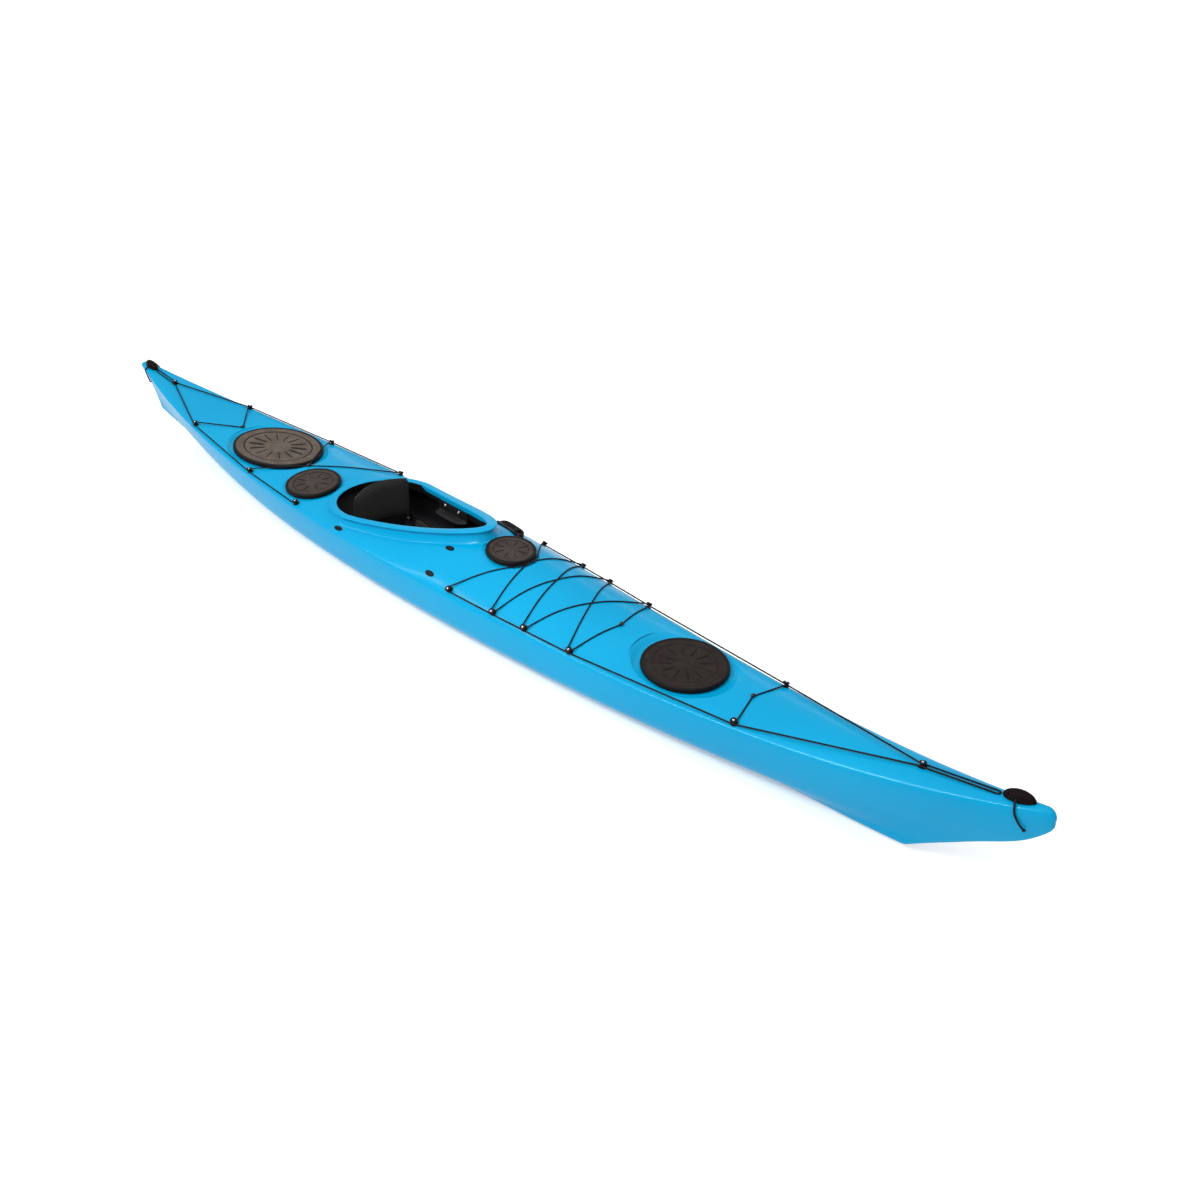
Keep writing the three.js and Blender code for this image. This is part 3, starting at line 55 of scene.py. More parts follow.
camera_yaw, camera_pitch, camera_roll = 2.2857, 0.5582, 0.0530
sight = Vector((
    math.cos(camera_pitch) * math.cos(camera_yaw),
    math.cos(camera_pitch) * math.sin(camera_yaw),
    -math.sin(camera_pitch),
))
level = sight.cross(Vector((0, 0, 1))).normalized()
upright = level.cross(sight)
right = math.cos(camera_roll) * level + math.sin(camera_roll) * upright
above = math.cos(camera_roll) * upright - math.sin(camera_roll) * level
camera_data = bpy.data.cameras.new("studio_camera")
camera_data.lens, camera_data.sensor_width = 34.449, 36.0
camera_data.clip_end = 60.0
camera = bpy.data.objects.new("studio_camera", camera_data)
camera.matrix_world = Matrix((
    (right.x, above.x, -sight.x, camera_place.x),
    (right.y, above.y, -sight.y, camera_place.y),
    (right.z, above.z, -sight.z, camera_place.z),
    (0, 0, 0, 1),
))
bpy.context.scene.collection.objects.link(camera)
bpy.context.scene.camera = camera
bpy.context.scene.view_settings.view_transform = "Standard"


def soft_box(name, place, aim, size, power):
    data = bpy.data.lights.new(name, "AREA")
    data.shape, data.size, data.size_y, data.energy = "RECTANGLE", size[0], size[1], power
    lamp = bpy.data.objects.new(name, data)
    lamp.location = place
    lamp.rotation_euler = (Vector(aim) - Vector(place)).to_track_quat("-Z", "Y").to_euler()
    bpy.context.scene.collection.objects.link(lamp)
    return lamp


soft_box("sheer_strip", (-1.8, -2.95, 3.2), (-1.8, 0, 0.2), (8.4, 0.45), 150)

# Two strips over the bow: the second is seen in gloss alone, as the line of light along the deck's edge
strip_place, strip_aim = (0.55, -2.22, 2.7), (1.7, -0.18, 0.33)
soft_box("bow_strip", strip_place, strip_aim, (2.0, 0.22), 34)
gleam = soft_box("bow_gleam", strip_place, strip_aim, (2.0, 0.5), 170)
gleam.data.color = (0.4, 0.9, 1.0)
gleam.visible_diffuse = False

soft_box("bow_box", (5.2, -1.6, 2.4), (1.0, 0, 0.2), (2.0, 1.6), 6)
soft_box("port_box", (-3.5, 4.2, 1.9), (-3.5, 0, 0.2), (7.0, 0.4), 20)

# The studio's white ceiling is brighter than its walls
world = bpy.data.worlds.new("studio_air")
world.use_nodes = True
air = world.node_tree
direction = air.nodes.new("ShaderNodeTexCoord")
height_of = air.nodes.new("ShaderNodeSeparateXYZ")
ceiling = air.nodes.new("ShaderNodeValToRGB")
stops = ceiling.color_ramp.elements
stops[0].position, stops[0].color = 0.0, (0.36, 0.36, 0.36, 1)
stops[1].position, stops[1].color = 1.0, (1.0, 1.0, 1.0, 1)
for place, grey in ((0.12, 0.2), (0.5, 0.24)):
    stops.new(place).color = (grey, grey, grey, 1)
air.links.new(direction.outputs["Generated"], height_of.inputs["Vector"])
air.links.new(height_of.outputs["Z"], ceiling.inputs["Fac"])
air.links.new(ceiling.outputs["Color"], air.nodes["Background"].inputs["Color"])
air.nodes["Background"].inputs["Strength"].default_value = 1.85
bpy.context.scene.world = world

floor_material = bpy.data.materials.new("studio_floor")
floor_material.use_nodes = True
floor_shader = floor_material.node_tree.nodes["Principled BSDF"]
floor_shader.inputs["Base Color"].default_value = (0.74, 0.74, 0.74, 1)
floor_shader.inputs["Emission Color"].default_value = (1, 1, 1, 1)
floor_shader.inputs["Emission Strength"].default_value = 0.32
floor_shader.inputs["Roughness"].default_value = 0.85
floor_mesh = bpy.data.meshes.new("studio_floor")
floor_corners = [(x * 80, y * 80, 0) for x, y in ((-1, -1), (1, -1), (1, 1), (-1, 1))]
floor_mesh.from_pydata(floor_corners, [], [(0, 1, 2, 3)])
floor_mesh.materials.append(floor_material)
floor = bpy.data.objects.new("studio_floor", floor_mesh)
floor.location.z = -0.0005
bpy.context.scene.collection.objects.link(floor)


# Hull: one rotomoulded shell of three-layer polyethylene
# Deck and hull are one moulding, blue outside and black inside, with sunk hatch seats, a raised coaming,
# lashing slots and a stem hole at each end. The inside's near-black is in part painted shade of the deep hull
# and cockpit. The skin is semi-gloss with a faint moulded ripple.
half_length, half_beam, hull_wall = 2550.0, 289.0, 4.5
widest_aft, sheer_height, sheer_sweep = 255.0, 216.0, 3.9
foredeck_rise, deck_camber, deck_edge_lift, deck_edge_roll = 114.0, 2.1, 9.0, 14
stem_half_width, nose_radius, edge_share, section_sharpening = 15.0, 40.0, 0.9955, 2.4

# Values that differ by end: 1 is the bow and -1 is the stern
beam_taper = {1: 1.81, -1: 2.11}
end_sheer = {1: 420.0, -1: 322.0}
overhang = {1: 413.0, -1: 134.0}
end_rise = {1: 25.0, -1: 108.0}
rocker_start = {1: 700.0, -1: 900.0}
rake_top = {1: 0.85, -1: 1.0}
rake_curve = {1: 0.98, -1: 0.62}
end_of = lambda x: 1 if x > 0 else -1

# Half sections as shares of the half beam and the depth, and the deck's ridge as a share of its rise
midship_section = [(0.07, 0), (0.45, 0.075), (0.8, 0.19), (0.915, 0.32), (0.975, 0.62), (1, 0.95)]
end_section = [(0.3, 0), (0.4, 0.13), (0.5, 0.28), (0.6, 0.44), (0.8, 0.72), (0.99, 0.96)]
ridge = [
    (-1, 0.057), (-0.75, 0.03), (-0.52, 0.08), (-0.35, 0.27), (-0.25, 0.3), (-0.1, 0.6), (0.04, 1.08),
    (0.11, 1.05), (0.25, 0.78), (0.36, 0.385), (0.47, 0.176), (0.6, 0.162), (0.83, 0.16), (1, 0.058),
]


def along_curve(pairs, place):
    if place <= pairs[0][0]:
        return pairs[0][1]
    if place >= pairs[-1][0]:
        return pairs[-1][1]
    i = max(k for k in range(len(pairs) - 1) if pairs[k][0] <= place)
    slope = lambda a, b: (pairs[b][1] - pairs[a][1]) / (pairs[b][0] - pairs[a][0])
    span = pairs[i + 1][0] - pairs[i][0]
    start = slope(max(0, i - 1), i + 1)
    end = slope(i, min(len(pairs) - 1, i + 2))
    t = (place - pairs[i][0]) / span
    return (
        pairs[i][1] * (2 * t**3 - 3 * t**2 + 1) + start * span * (t**3 - 2 * t**2 + t)
        + pairs[i + 1][1] * (3 * t**2 - 2 * t**3) + end * span * (t**3 - t**2)
    )


def nose_share(x):
    into = (abs(x) - (half_length - nose_radius)) / nose_radius
    return 1.0 if into <= 0 else math.sqrt(max(0.0, 1 - into**2))


def beam_at(x):
    ahead = x + widest_aft
    t = ahead / (half_length + widest_aft) if ahead > 0 else -ahead / (half_length - widest_aft)
    stem = stem_half_width * (0.25 + 0.75 * nose_share(x))
    return stem + (half_beam - stem_half_width) * (1 - min(1.0, t) ** beam_taper[end_of(ahead)])


def sheer_at(x):
    sweep = (end_sheer[end_of(x)] - sheer_height) * abs(x / half_length) ** sheer_sweep
    return sheer_height + sweep - nose_radius * (1 - nose_share(x))


def deck_at(x, y):
    across = min(1.0, abs(y) / beam_at(x))
    rise = foredeck_rise * along_curve(ridge, x / half_length)
    return sheer_at(x) + deck_edge_lift * (1 - across**deck_edge_roll) + rise * (1 - across**deck_camber)


def overhang_at(x):
    return end_of(x) * overhang[end_of(x)] * abs(x / half_length) ** 3


def keel_at(x):
    end = end_of(x)
    reach = half_length - rocker_start[end] - overhang[end]
    return end_rise[end] * max(0.0, (abs(x) - rocker_start[end]) / reach) ** 2


def stem_shift_at(x, depth):
    end = end_of(x)
    return overhang_at(x) * max(0.0, 1 - depth / rake_top[end]) ** rake_curve[end]


def section_at(x):
    full = abs(x / half_length) ** section_sharpening
    pairs = zip(midship_section, end_section)
    return [(w + (end_w - w) * full, h + (end_h - h) * full) for (w, h), (end_w, end_h) in pairs]


def half_width_at(x, height):
    """The hull's half width at a place and height, found by moving along the raked ribs."""
    rib, depth = x, 1.0
    for _ in range(12):
        keel = keel_at(rib - overhang_at(rib))
        depth = min(1.0, max(0.0, (height - keel) / (sheer_at(rib) - keel)))
        rib = x + stem_shift_at(rib, depth)
    shares = section_at(rib) + [(1, 1)]
    i = max(k for k in range(len(shares) - 1) if k == 0 or depth > shares[k][1])
    t = max(0.0, (depth - shares[i][1]) / (shares[i + 1][1] - shares[i][1]))
    return beam_at(rib) * (shares[i][0] + t * (shares[i + 1][0] - shares[i][0]))


deck_shares = [0.985, 0.965, 0.93, 0.86, 0.77, 0.67, 0.56, 0.45, 0.34, 0.23, 0.11, 0]
rib_samples = [7, 6, 4, 5, 5, 3, 2] + [2] * 11


def rib_at(x):
    beam, sheer = beam_at(x), sheer_at(x)
    keel = keel_at(x - overhang_at(x))
    half = [(x - stem_shift_at(x, h), w * beam, keel + h * (sheer - keel)) for w, h in section_at(x)]
    half.append((x, edge_share * beam, deck_at(x, edge_share * beam) - 0.005 * beam))
    half += [(x, share * beam, deck_at(x, share * beam)) for share in deck_shares]
    return [(a, -b, c) for a, b, c in half] + half[-2::-1]


def rounded_rings(rings, samples):
    """Rings of points, each turned into one smooth closed curve through them."""
    points = np.array(rings, float)
    count = points.shape[1]
    step = np.linalg.norm(np.roll(points, -1, 1) - points, axis=2, keepdims=True) ** 0.5 + 1e-3
    before, after = np.roll(points, 1, 1), np.roll(points, -1, 1)
    back = np.roll(step, 1, 1)
    speed = (points - before) / back - (after - before) / (back + step) + (after - points) / step
    parts = []
    for i in range(count):
        j = (i + 1) % count
        for k in range(samples[i]):
            t = k / samples[i]
            parts.append(
                points[:, i] * (2 * t**3 - 3 * t**2 + 1) + speed[:, i] * step[:, i] * (t**3 - 2 * t**2 + t)
                + points[:, j] * (3 * t**2 - 2 * t**3) + speed[:, j] * step[:, i] * (t**3 - t**2)
            )
    return np.stack(parts, 1)


def new_piece(name, points, faces, materials, indices=None):
    mesh = bpy.data.meshes.new(name)
    mesh.from_pydata((np.asarray(points, float).reshape(-1, 3) * 0.001).tolist(), [], faces)
    for material in materials:
        mesh.materials.append(material)
    if indices is not None:
        mesh.polygons.foreach_set("material_index", indices)
    piece = bpy.data.objects.new(name, mesh)
    bpy.context.scene.collection.objects.link(piece)
    work = bmesh.new()
    work.from_mesh(mesh)
    bmesh.ops.recalc_face_normals(work, faces=work.faces)
    work.to_mesh(mesh)
    work.free()
    return piece


def skin(rings, loop=False):
    """Faces over rings of points, with the two ends capped unless the rings close up on themselves."""
    count, size = len(rings), len(rings[0])
    faces = []
    for i in range(count if loop else count - 1):
        j = (i + 1) % count
        for k in range(size):
            m = (k + 1) % size
            faces.append((i * size + k, j * size + k, j * size + m, i * size + m))
    if not loop:
        faces += [tuple(range(size)), tuple((count - 1) * size + k for k in reversed(range(size)))]
    return faces


def carve(piece, cutter):
    step = piece.modifiers.new("carve", "BOOLEAN")
    step.object, step.operation, step.solver = cutter, "DIFFERENCE", "EXACT"
    shape = piece.evaluated_get(bpy.context.evaluated_depsgraph_get())
    mesh = bpy.data.meshes.new_from_object(shape)
    piece.modifiers.clear()
    old, piece.data = piece.data, mesh
    bpy.data.meshes.remove(old)
    bpy.data.objects.remove(cutter)


def several(parts):
    """Points, faces and material numbers of several shapes as one list each."""
    points, faces, indices = [], [], []
    for shape, sides, index in parts:
        start = len(points)
        points += np.asarray(shape, float).reshape(-1, 3).tolist()
        faces += [tuple(start + k for k in side) for side in sides]
        indices += [index] * len(sides) if np.isscalar(index) else list(index)
    return points, faces, indices


def smooth_over(piece, degrees):
    work = bmesh.new()
    work.from_mesh(piece.data)
    bmesh.ops.remove_doubles(work, verts=work.verts, dist=1e-6)
    for face in work.faces:
        face.smooth = True
    for edge in work.edges:
        edge.smooth = len(edge.link_faces) == 2 and edge.calc_face_angle(0) < math.radians(degrees)
    work.to_mesh(piece.data)
    work.free()


def surface(name, light, dark, mottle, rough, bump, depth, **sockets):
    """A moulded or woven surface: two tones mottled at one scale, roughness that varies, and a bump."""
    material = bpy.data.materials.new(name)
    material.use_nodes = True
    tree = material.node_tree
    shader = tree.nodes["Principled BSDF"]
    where = tree.nodes.new("ShaderNodeTexCoord")
    spots = tree.nodes.new("ShaderNodeTexNoise")
    spots.inputs["Scale"].default_value, spots.inputs["Detail"].default_value = mottle, 4.0
    tones = tree.nodes.new("ShaderNodeValToRGB")
    tones.color_ramp.elements[0].position, tones.color_ramp.elements[1].position = 0.3, 0.7
    tones.color_ramp.elements[0].color, tones.color_ramp.elements[1].color = (*dark, 1), (*light, 1)
    sheen = tree.nodes.new("ShaderNodeMapRange")
    sheen.inputs["To Min"].default_value, sheen.inputs["To Max"].default_value = rough
    grain = tree.nodes.new("ShaderNodeTexNoise")
    grain.inputs["Scale"].default_value, grain.inputs["Detail"].default_value = bump, 3.0
    relief = tree.nodes.new("ShaderNodeBump")
    relief.inputs["Strength"].default_value, relief.inputs["Distance"].default_value = 1.0, depth
    link = tree.links.new
    link(where.outputs["Object"], spots.inputs["Vector"])
    link(where.outputs["Object"], grain.inputs["Vector"])
    link(spots.outputs["Fac"], tones.inputs["Fac"])
    link(tones.outputs["Color"], shader.inputs["Base Color"])
    link(spots.outputs["Fac"], sheen.inputs["Value"])
    link(sheen.outputs["Result"], shader.inputs["Roughness"])
    link(grain.outputs["Fac"], relief.inputs["Height"])
    link(relief.outputs["Normal"], shader.inputs["Normal"])
    for socket, value in sockets.items():
        shader.inputs[socket.replace("_", " ")].default_value = value
    return material


hull_blue = surface("hull_blue", (0.0, 0.278, 0.505), (0.0, 0.25, 0.465), 1.7, (0.26, 0.36), 420, 0.00006,
                    Specular_IOR_Level=0.06, Coat_Weight=0.08, Coat_Roughness=0.05)
# Near-black lining: partly the inner layer's colour, partly painted shade of the hull's dark inside
liner_painted_shade = surface("liner_painted_shade", (0.005, 0.004, 0.005), (0.003, 0.0025, 0.003), 9, (0.45, 0.6), 300,
                      0.0002, Specular_IOR_Level=0.12)

nose_start, rib_spacing = half_length - nose_radius, 14.0
station_xs = [-nose_start - nose_radius * math.sin(a) for a in np.linspace(math.pi / 2, 0.12, 9)]
station_xs += list(np.arange(-nose_start, nose_start + 1, rib_spacing))
station_xs += [nose_start + nose_radius * math.sin(a) for a in np.linspace(0.12, math.pi / 2, 9)]
closed_samples = rib_samples + rib_samples[::-1] + [3]
hull_rings = rounded_rings([rib_at(x) for x in station_xs], closed_samples)
hull = new_piece("hull_moulding", hull_rings, skin(hull_rings), [hull_blue, liner_painted_shade, liner_painted_shade])
deck_form = new_piece("deck_form", hull_rings, skin(hull_rings), [hull_blue])


def deck_frame(x, y, reach_x, reach_y, drop):
    """Axes and origin for a piece that lies on the deck, sunk by a drop."""
    slope_x = (deck_at(x + reach_x, y) - deck_at(x - reach_x, y)) / (2 * reach_x)
    slope_y = (deck_at(x, y + reach_y) - deck_at(x, y - reach_y)) / (2 * reach_y)
    up = Vector((-slope_x, -slope_y, 1)).normalized()
    along = Vector((1, 0, slope_x)).normalized()
    return framed(along, up, (x, y, deck_at(x, y) - drop))


def framed(along, up, place):
    across = up.cross(along)
    return np.array([[*along], [*across], [*up]]), np.array(place, float)


def placed(points, frame_here):
    axes, origin = frame_here
    return np.asarray(points, float).reshape(-1, 3) @ axes + origin


def turns_of(steps):
    return [2 * math.pi * i / steps for i in range(steps)]


def oval(long, wide, height, steps=112, least=0.4):
    return [(max(least, long) * math.cos(a), max(least, wide) * math.sin(a), height) for a in turns_of(steps)]


def oval_cut(profile, half_long, half_wide, frame_here, indices, steps=96):
    """A shape to cut out of the deck, with a number for each of its bands, from the bottom up."""
    rings = [oval(half_long + o, half_wide + o, h, steps, 0.0) for o, h in profile]
    faces = skin(rings)
    bands = [indices[min(i // steps, len(indices) - 1)] for i in range(len(faces) - 2)]
    return placed(rings, frame_here), faces, bands + [indices[0], indices[-1]]


# What each cut face becomes: blue skin, black (the lining, and painted shade in the shallow pockets), or
# waste that is cleared away
blue_face, black_face, waste = 0, 1, 2

# The hatches: where they are and how large, and how far and how softly the deck is sunk for each
hatches = {
    "bow": dict(x=1200, y=0, long=161, wide=161, drop=15, soft=36, ribs=12),
    "stern": dict(x=-1311, y=0, long=246, wide=190, drop=11, soft=20, ribs=14),
    "day": dict(x=-862, y=-116, long=123, wide=123, drop=8, soft=12, ribs=8),
    "pod": dict(x=300, y=0, long=101, wide=101, drop=9, soft=14, ribs=8),
}
ledge = 11
cuts = []
for hatch in hatches.values():
    hatch["seat"] = deck_frame(hatch["x"], hatch["y"], hatch["long"], hatch["wide"], hatch["drop"])
    drop, soft = hatch["drop"], hatch["soft"]
    seat_profile = [(-30, -60), (-30, 0), (ledge - 2, 0), (ledge, 0.3)]
    seat_profile += [(ledge + s * soft, h * drop) for s, h in ((0.25, 0.12), (0.5, 0.45), (0.75, 0.85))]
    seat_profile += [(ledge + soft, drop + 1.5), (ledge + 5 + soft, drop + 4), (ledge + 5 + soft, drop + 60)]
    cuts.append(oval_cut(seat_profile, hatch["long"], hatch["wide"], hatch["seat"], [waste, blue_face]))

# The cockpit's outline: two curves a side, with the outward normal at each point
cockpit_rear, cockpit_widest, cockpit_front, cockpit_half = -706.0, -488.0, 146.0, 205.0
cockpit_span = cockpit_front - cockpit_rear
rim_rear_height, rim_rise, lip_rear_width, lip_growth = 264, 136, 33, 10


def cockpit_outline(per_curve):
    curves = [
        [
            (cockpit_rear, 0), (cockpit_rear, 0.655 * cockpit_half),
            (cockpit_widest - 0.13 * cockpit_span, cockpit_half), (cockpit_widest, cockpit_half),
        ],
        [
            (cockpit_widest, cockpit_half), (cockpit_widest + 0.04 * cockpit_span, cockpit_half),
            (cockpit_front, 0.45 * cockpit_half), (cockpit_front, 0),
        ],
    ]
    port = []
    for which, curve in enumerate(curves):
        a, b, c, d = (np.array(p, float) for p in curve)
        for i in range(per_curve + which):
            t = i / per_curve
            point = (1 - t)**3 * a + 3 * (1 - t)**2 * t * b + 3 * (1 - t) * t**2 * c + t**3 * d
            way = 3 * (1 - t)**2 * (b - a) + 6 * (1 - t) * t * (c - b) + 3 * t**2 * (d - c)
            way /= np.linalg.norm(way)
            port.append((point, np.array((-way[1], way[0]))))
    mirror = np.array((1, -1))
    return port + [(p * mirror, n * mirror) for p, n in port[-2:0:-1]]


def rim_share(x):
    return min(1.0, max(0.0, (x - cockpit_rear) / cockpit_span)) ** 1.75


def rim_top_at(x):
    return rim_rear_height + rim_rise * rim_share(x)


def lip_at(x):
    return lip_rear_width + lip_growth * rim_share(x)


outline = cockpit_outline(60)
edges = [p + 3.2 * n for p, n in outline]
opening = [[(*spot, deck_at(*spot) + lift) for spot in edges] for lift in (-60, 60)]
cuts.append((opening, skin(opening), waste))

# Three shallow pockets beside the cockpit, with walls and floor painted black as the shade inside them
recess_long, recess_wide = 25, 12
recess_profile = [(-1.5, -3.4), (0, -2.6), (0, 1), (1.2, 30)]
for x, y in ((87, -134), (93, -248), (-486, -262)):
    here = deck_frame(x, y, recess_long, recess_wide, 0)
    cuts.append(oval_cut(recess_profile, recess_long, recess_wide, here, [black_face], 40))

# The holes for the toggles' cords, through both stems from side to side
stem_hole_radius = 5.5
toggle_ends = {
    "bow": dict(x=2436.0, hole_x=2478.0, hole_z=sheer_at(2478) - 75),
    "stern": dict(x=-2452.0, hole_x=-2470.0, hole_z=sheer_at(-2470) - 74),
}
for end in toggle_ends.values():
    circle = [(stem_hole_radius * math.cos(a), stem_hole_radius * math.sin(a)) for a in turns_of(24)]
    hole = [[(end["hole_x"] + dx, y, end["hole_z"] + dz) for dx, dz in circle] for y in (-300, 300)]
    cuts.append((hole, skin(hole), blue_face))

skeg_x, slot_half_width = -0.6855 * half_length, 5.5
slot_corners = [(skeg_x - 270, -9), (skeg_x + 28, -9), (skeg_x + 28, 70), (skeg_x - 270, 90)]
slot = [[(x, y, z) for x, z in slot_corners] for y in (-slot_half_width, slot_half_width)]
cuts.append((slot, skin(slot), waste))
points, faces, indices = several(cuts)
carve(hull, new_piece("cutter", points, faces, [hull_blue, liner_painted_shade, liner_painted_shade], indices))

# The waste walls of the solid body go, and what is left is a skin, which gets its wall
work = bmesh.new()
work.from_mesh(hull.data)
bmesh.ops.delete(work, geom=[face for face in work.faces if face.material_index == waste], context="FACES")
bmesh.ops.remove_doubles(work, verts=work.verts, dist=2e-5)
work.to_mesh(hull.data)
work.free()
wall = hull.modifiers.new("wall", "SOLIDIFY")
wall.thickness, wall.offset = hull_wall * 0.001, -1.0
wall.material_offset, wall.material_offset_rim = black_face, black_face
skinned = bpy.data.meshes.new_from_object(hull.evaluated_get(bpy.context.evaluated_depsgraph_get()))
hull.modifiers.clear()
hull.data = skinned
smooth_over(hull, 32)
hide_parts("hull_bow", "hull_middle", "hull_stern")
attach(hull, "hull")


# Coaming: the raised lip that a spraydeck clips under
# It is part of the moulding: a broad flat lip with rounded edges on an upright wall, which flares out into
# the deck. Its inner face shows the black liner, in part painted shade, with a blue band beside the thighs.
band_least, band_growth, band_start, wall_inset, flare = 6, 15, -500, 13, 24


def band_depth(x):
    """How far down the blue reaches inside the rim."""
    rise = min(1.0, max(0.0, (x - band_start) / 40))
    fade = min(1.0, max(0.0, (cockpit_front - x) / 110))
    return band_least + band_growth * rise * rise * (3 - 2 * rise) * fade


def coaming_rings(stations):
    rings = []
    for p, n in stations:
        top, lip = rim_top_at(p[0]), lip_at(p[0])
        foot = lambda o: deck_at(*(p + o * n))
        wall_out = lip - wall_inset
        inner = [(0, band_depth(p[0])), (0, 5.5), (0.2, 3.6), (1.1, 1.7), (2.8, 0.5), (5, 0)]
        crest = [(lip * 0.35, -0.5), (lip * 0.65, -0.5), (lip - 4.2, 0), (lip - 1.8, 0.5), (lip - 0.4, 1.7)]
        edge = [(lip, 3.2), (lip - 0.5, 5), (lip - 1.8, 6.2), (lip - 4, 6.5), (lip - 9, 6.6)]
        under = [(wall_out + 1, 7.2), (wall_out, 8.5)]
        profile = [(0, foot(0) - 12)] + [(o, top - down) for o, down in inner + crest + edge + under]
        for t in np.linspace(0, 1, 9):
            out = wall_out + flare * t
            rise = max(0.0, top - 11 - foot(wall_out)) * (1 - t) ** 1.7
            profile.append((out, foot(out) - 0.4 * t + rise))
        profile.append((wall_out + flare, foot(wall_out + flare) - 5))
        rings.append([(*(p + o * n), h) for o, h in profile])
    return rings


rings = coaming_rings(outline)
faces = skin(rings, loop=True)
size = len(rings[0])
liner_faces = []
for i in range(len(faces)):
    banded = band_depth(outline[i // size][0][0]) > band_least + 0.4
    black_bands = {0, size - 1} if banded else {0, 1, 2, 3, size - 1}
    liner_faces.append(black_face if i % size in black_bands else blue_face)
coaming = new_piece("cockpit_coaming", rings, faces, [hull_blue, liner_painted_shade], liner_faces)
smooth_over(coaming, 50)
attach(coaming, "hull")

# The gleam lamp lights the moulding alone, so that the dark cockpit stays dark
gleam_catchers = bpy.data.collections.new("gleam_catchers")
for piece in (hull, coaming):
    gleam_catchers.objects.link(piece)
gleam.light_linking.receiver_collection = gleam_catchers


# Hatch rims and covers: black collars in the deck, and thick rubber lids
# Each collar is a moulded ring bolted to the sunk seat. The lid is soft rubber with a fat black bead that
# snaps over the collar, a grooved plate, radial ribs and a round hub; the tops have weathered to brown-grey.
# The black of the skirt and bead is partly the dark rubber and partly painted shade from the sunk seat; the
# plate's groove and the ribs are drawn black as painted shade.
def rubber(name, light, dark, rough, gloss, mottle=26, depth=0.00025):
    return surface(name, light, dark, mottle, rough, 700, depth, Specular_IOR_Level=gloss)


aged_rubber = rubber("aged_rubber", (0.1, 0.078, 0.062), (0.06, 0.046, 0.038), (0.6, 0.85), 0.2)
worn_rubber = rubber("worn_rubber", (0.05, 0.038, 0.033), (0.029, 0.022, 0.019), (0.6, 0.85), 0.12)
dark_rubber = rubber("dark_rubber", (0.022, 0.016, 0.013), (0.01, 0.007, 0.006), (0.5, 0.75), 0.1)
# Black for the lids: the bead's own dark rubber, plus painted shade on the skirt, in the plate's groove and
# on the ribs
rubber_painted_shade = rubber("rubber_painted_shade", (0.007, 0.006, 0.006), (0.003, 0.0025, 0.003), (0.4, 0.65), 0.12,
                      mottle=40, depth=0.0002)
collar_plastic = surface("collar_plastic", (0.008, 0.008, 0.009), (0.004, 0.004, 0.005), 25, (0.35, 0.5), 500,
                         0.0001)
bright_steel = surface("bright_steel", (0.72, 0.72, 0.74), (0.5, 0.5, 0.52), 60, (0.18, 0.34), 900, 0.00005,
                       Metallic=1.0)
lid_rubbers = {"bow": dark_rubber, "stern": aged_rubber, "day": worn_rubber, "pod": worn_rubber}
plate_height, plate_inset, rib_inner, rib_outer, heavy_rib_angle = 19.6, 15, 0.29, 0.66, 0.72


def rib_bar(long, wide, angle, width):
    """A rounded rib that lies out from the hub along a lid's plate."""
    start = np.array((rib_inner * long * math.cos(angle), rib_inner * wide * math.sin(angle)))
    end = np.array((rib_outer * long * math.cos(angle), rib_outer * wide * math.sin(angle)))
    way = (end - start) / np.linalg.norm(end - start)
    side = np.array((-way[1], way[0]))
    rings = []
    for t in np.linspace(0, 1, 11):
        full = max(0.08, 1 - abs(2 * t - 1) ** 7) ** 0.5
        middle = start + (end - start) * t
        rings.append([
            (*(middle + side * (0.5 * width * full * math.cos(a))), plate_height + 2.6 * full * math.sin(a))
            for a in turns_of(12)
        ])
    return rings


def hatch_lid(name, hatch, top_rubber):
    long, wide = hatch["long"], hatch["wide"]
    under = [(s * (long - 8), s * (wide - 8), 15.4) for s in (0.03, 0.5, 1)]
    lip = [(-8, 5), (-7, 3.9), (-1, 3.8), (0.7, 4.7), (1.4, 7), (1.6, 10), (1.3, 14), (0.5, 17.4)]
    lip.append((-0.8, 20.1))
    bead = [(-2.8, 21.9), (-5.5, 22.5), (-8.5, 22.3), (-11, 21.3), (-13, 20.2), (-15, 19.6)]
    plate = [(0.97, 19.8), (0.83, 19.9), (0.815, 18.9), (0.795, 18.9), (0.78, 19.8), (0.6, 19.9), (0.3, 20.1)]
    plate += [(0.262, 20.1), (0.25, 20.9), (0.235, 21.5), (0.15, 21.7), (0.13, 21.2), (0.02, 21.3)]
    sizes = under + [(long + o, wide + o, h) for o, h in lip + bead]
    sizes += [(s * (long - plate_inset), s * (wide - plate_inset), h) for s, h in plate]
    rings = [oval(*size) for size in sizes]
    faces = skin(rings)
    bead_end = len(under) + len(lip) + len(bead)
    # The lip, skirt and outer bead are black, partly dark rubber and partly painted shade; the plate's groove
    # is painted shade
    black_bands = set(range(bead_end - 2)) | {bead_end + 1, bead_end + 2}
    parts = [(rings, faces, [1 if i // len(rings[0]) in black_bands else 0 for i in range(len(faces))])]
    # The ribs are drawn black, as painted shade beside them
    for i in range(hatch["ribs"]):
        angle = (i + 0.5) / hatch["ribs"] * 2 * math.pi
        bar = rib_bar(long, wide, angle, long * (0.02 + 0.05 * math.cos(angle - heavy_rib_angle) ** 4))
        parts.append((bar, skin(bar), 1))
    points, faces, indices = several(parts)
    lid = new_piece(name + "_lid", placed(points, hatch["seat"]), faces, [top_rubber, rubber_painted_shade], indices)
    smooth_over(lid, 40)
    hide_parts(name + "_hatch_cover")
    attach(lid, name + "_cover")
    return lid


def turned(profile, steps=32):
    """Rings of a part that is turned on a lathe, from its radii and heights."""
    return np.array([oval(r, r, h, steps, 0.0) for r, h in profile])


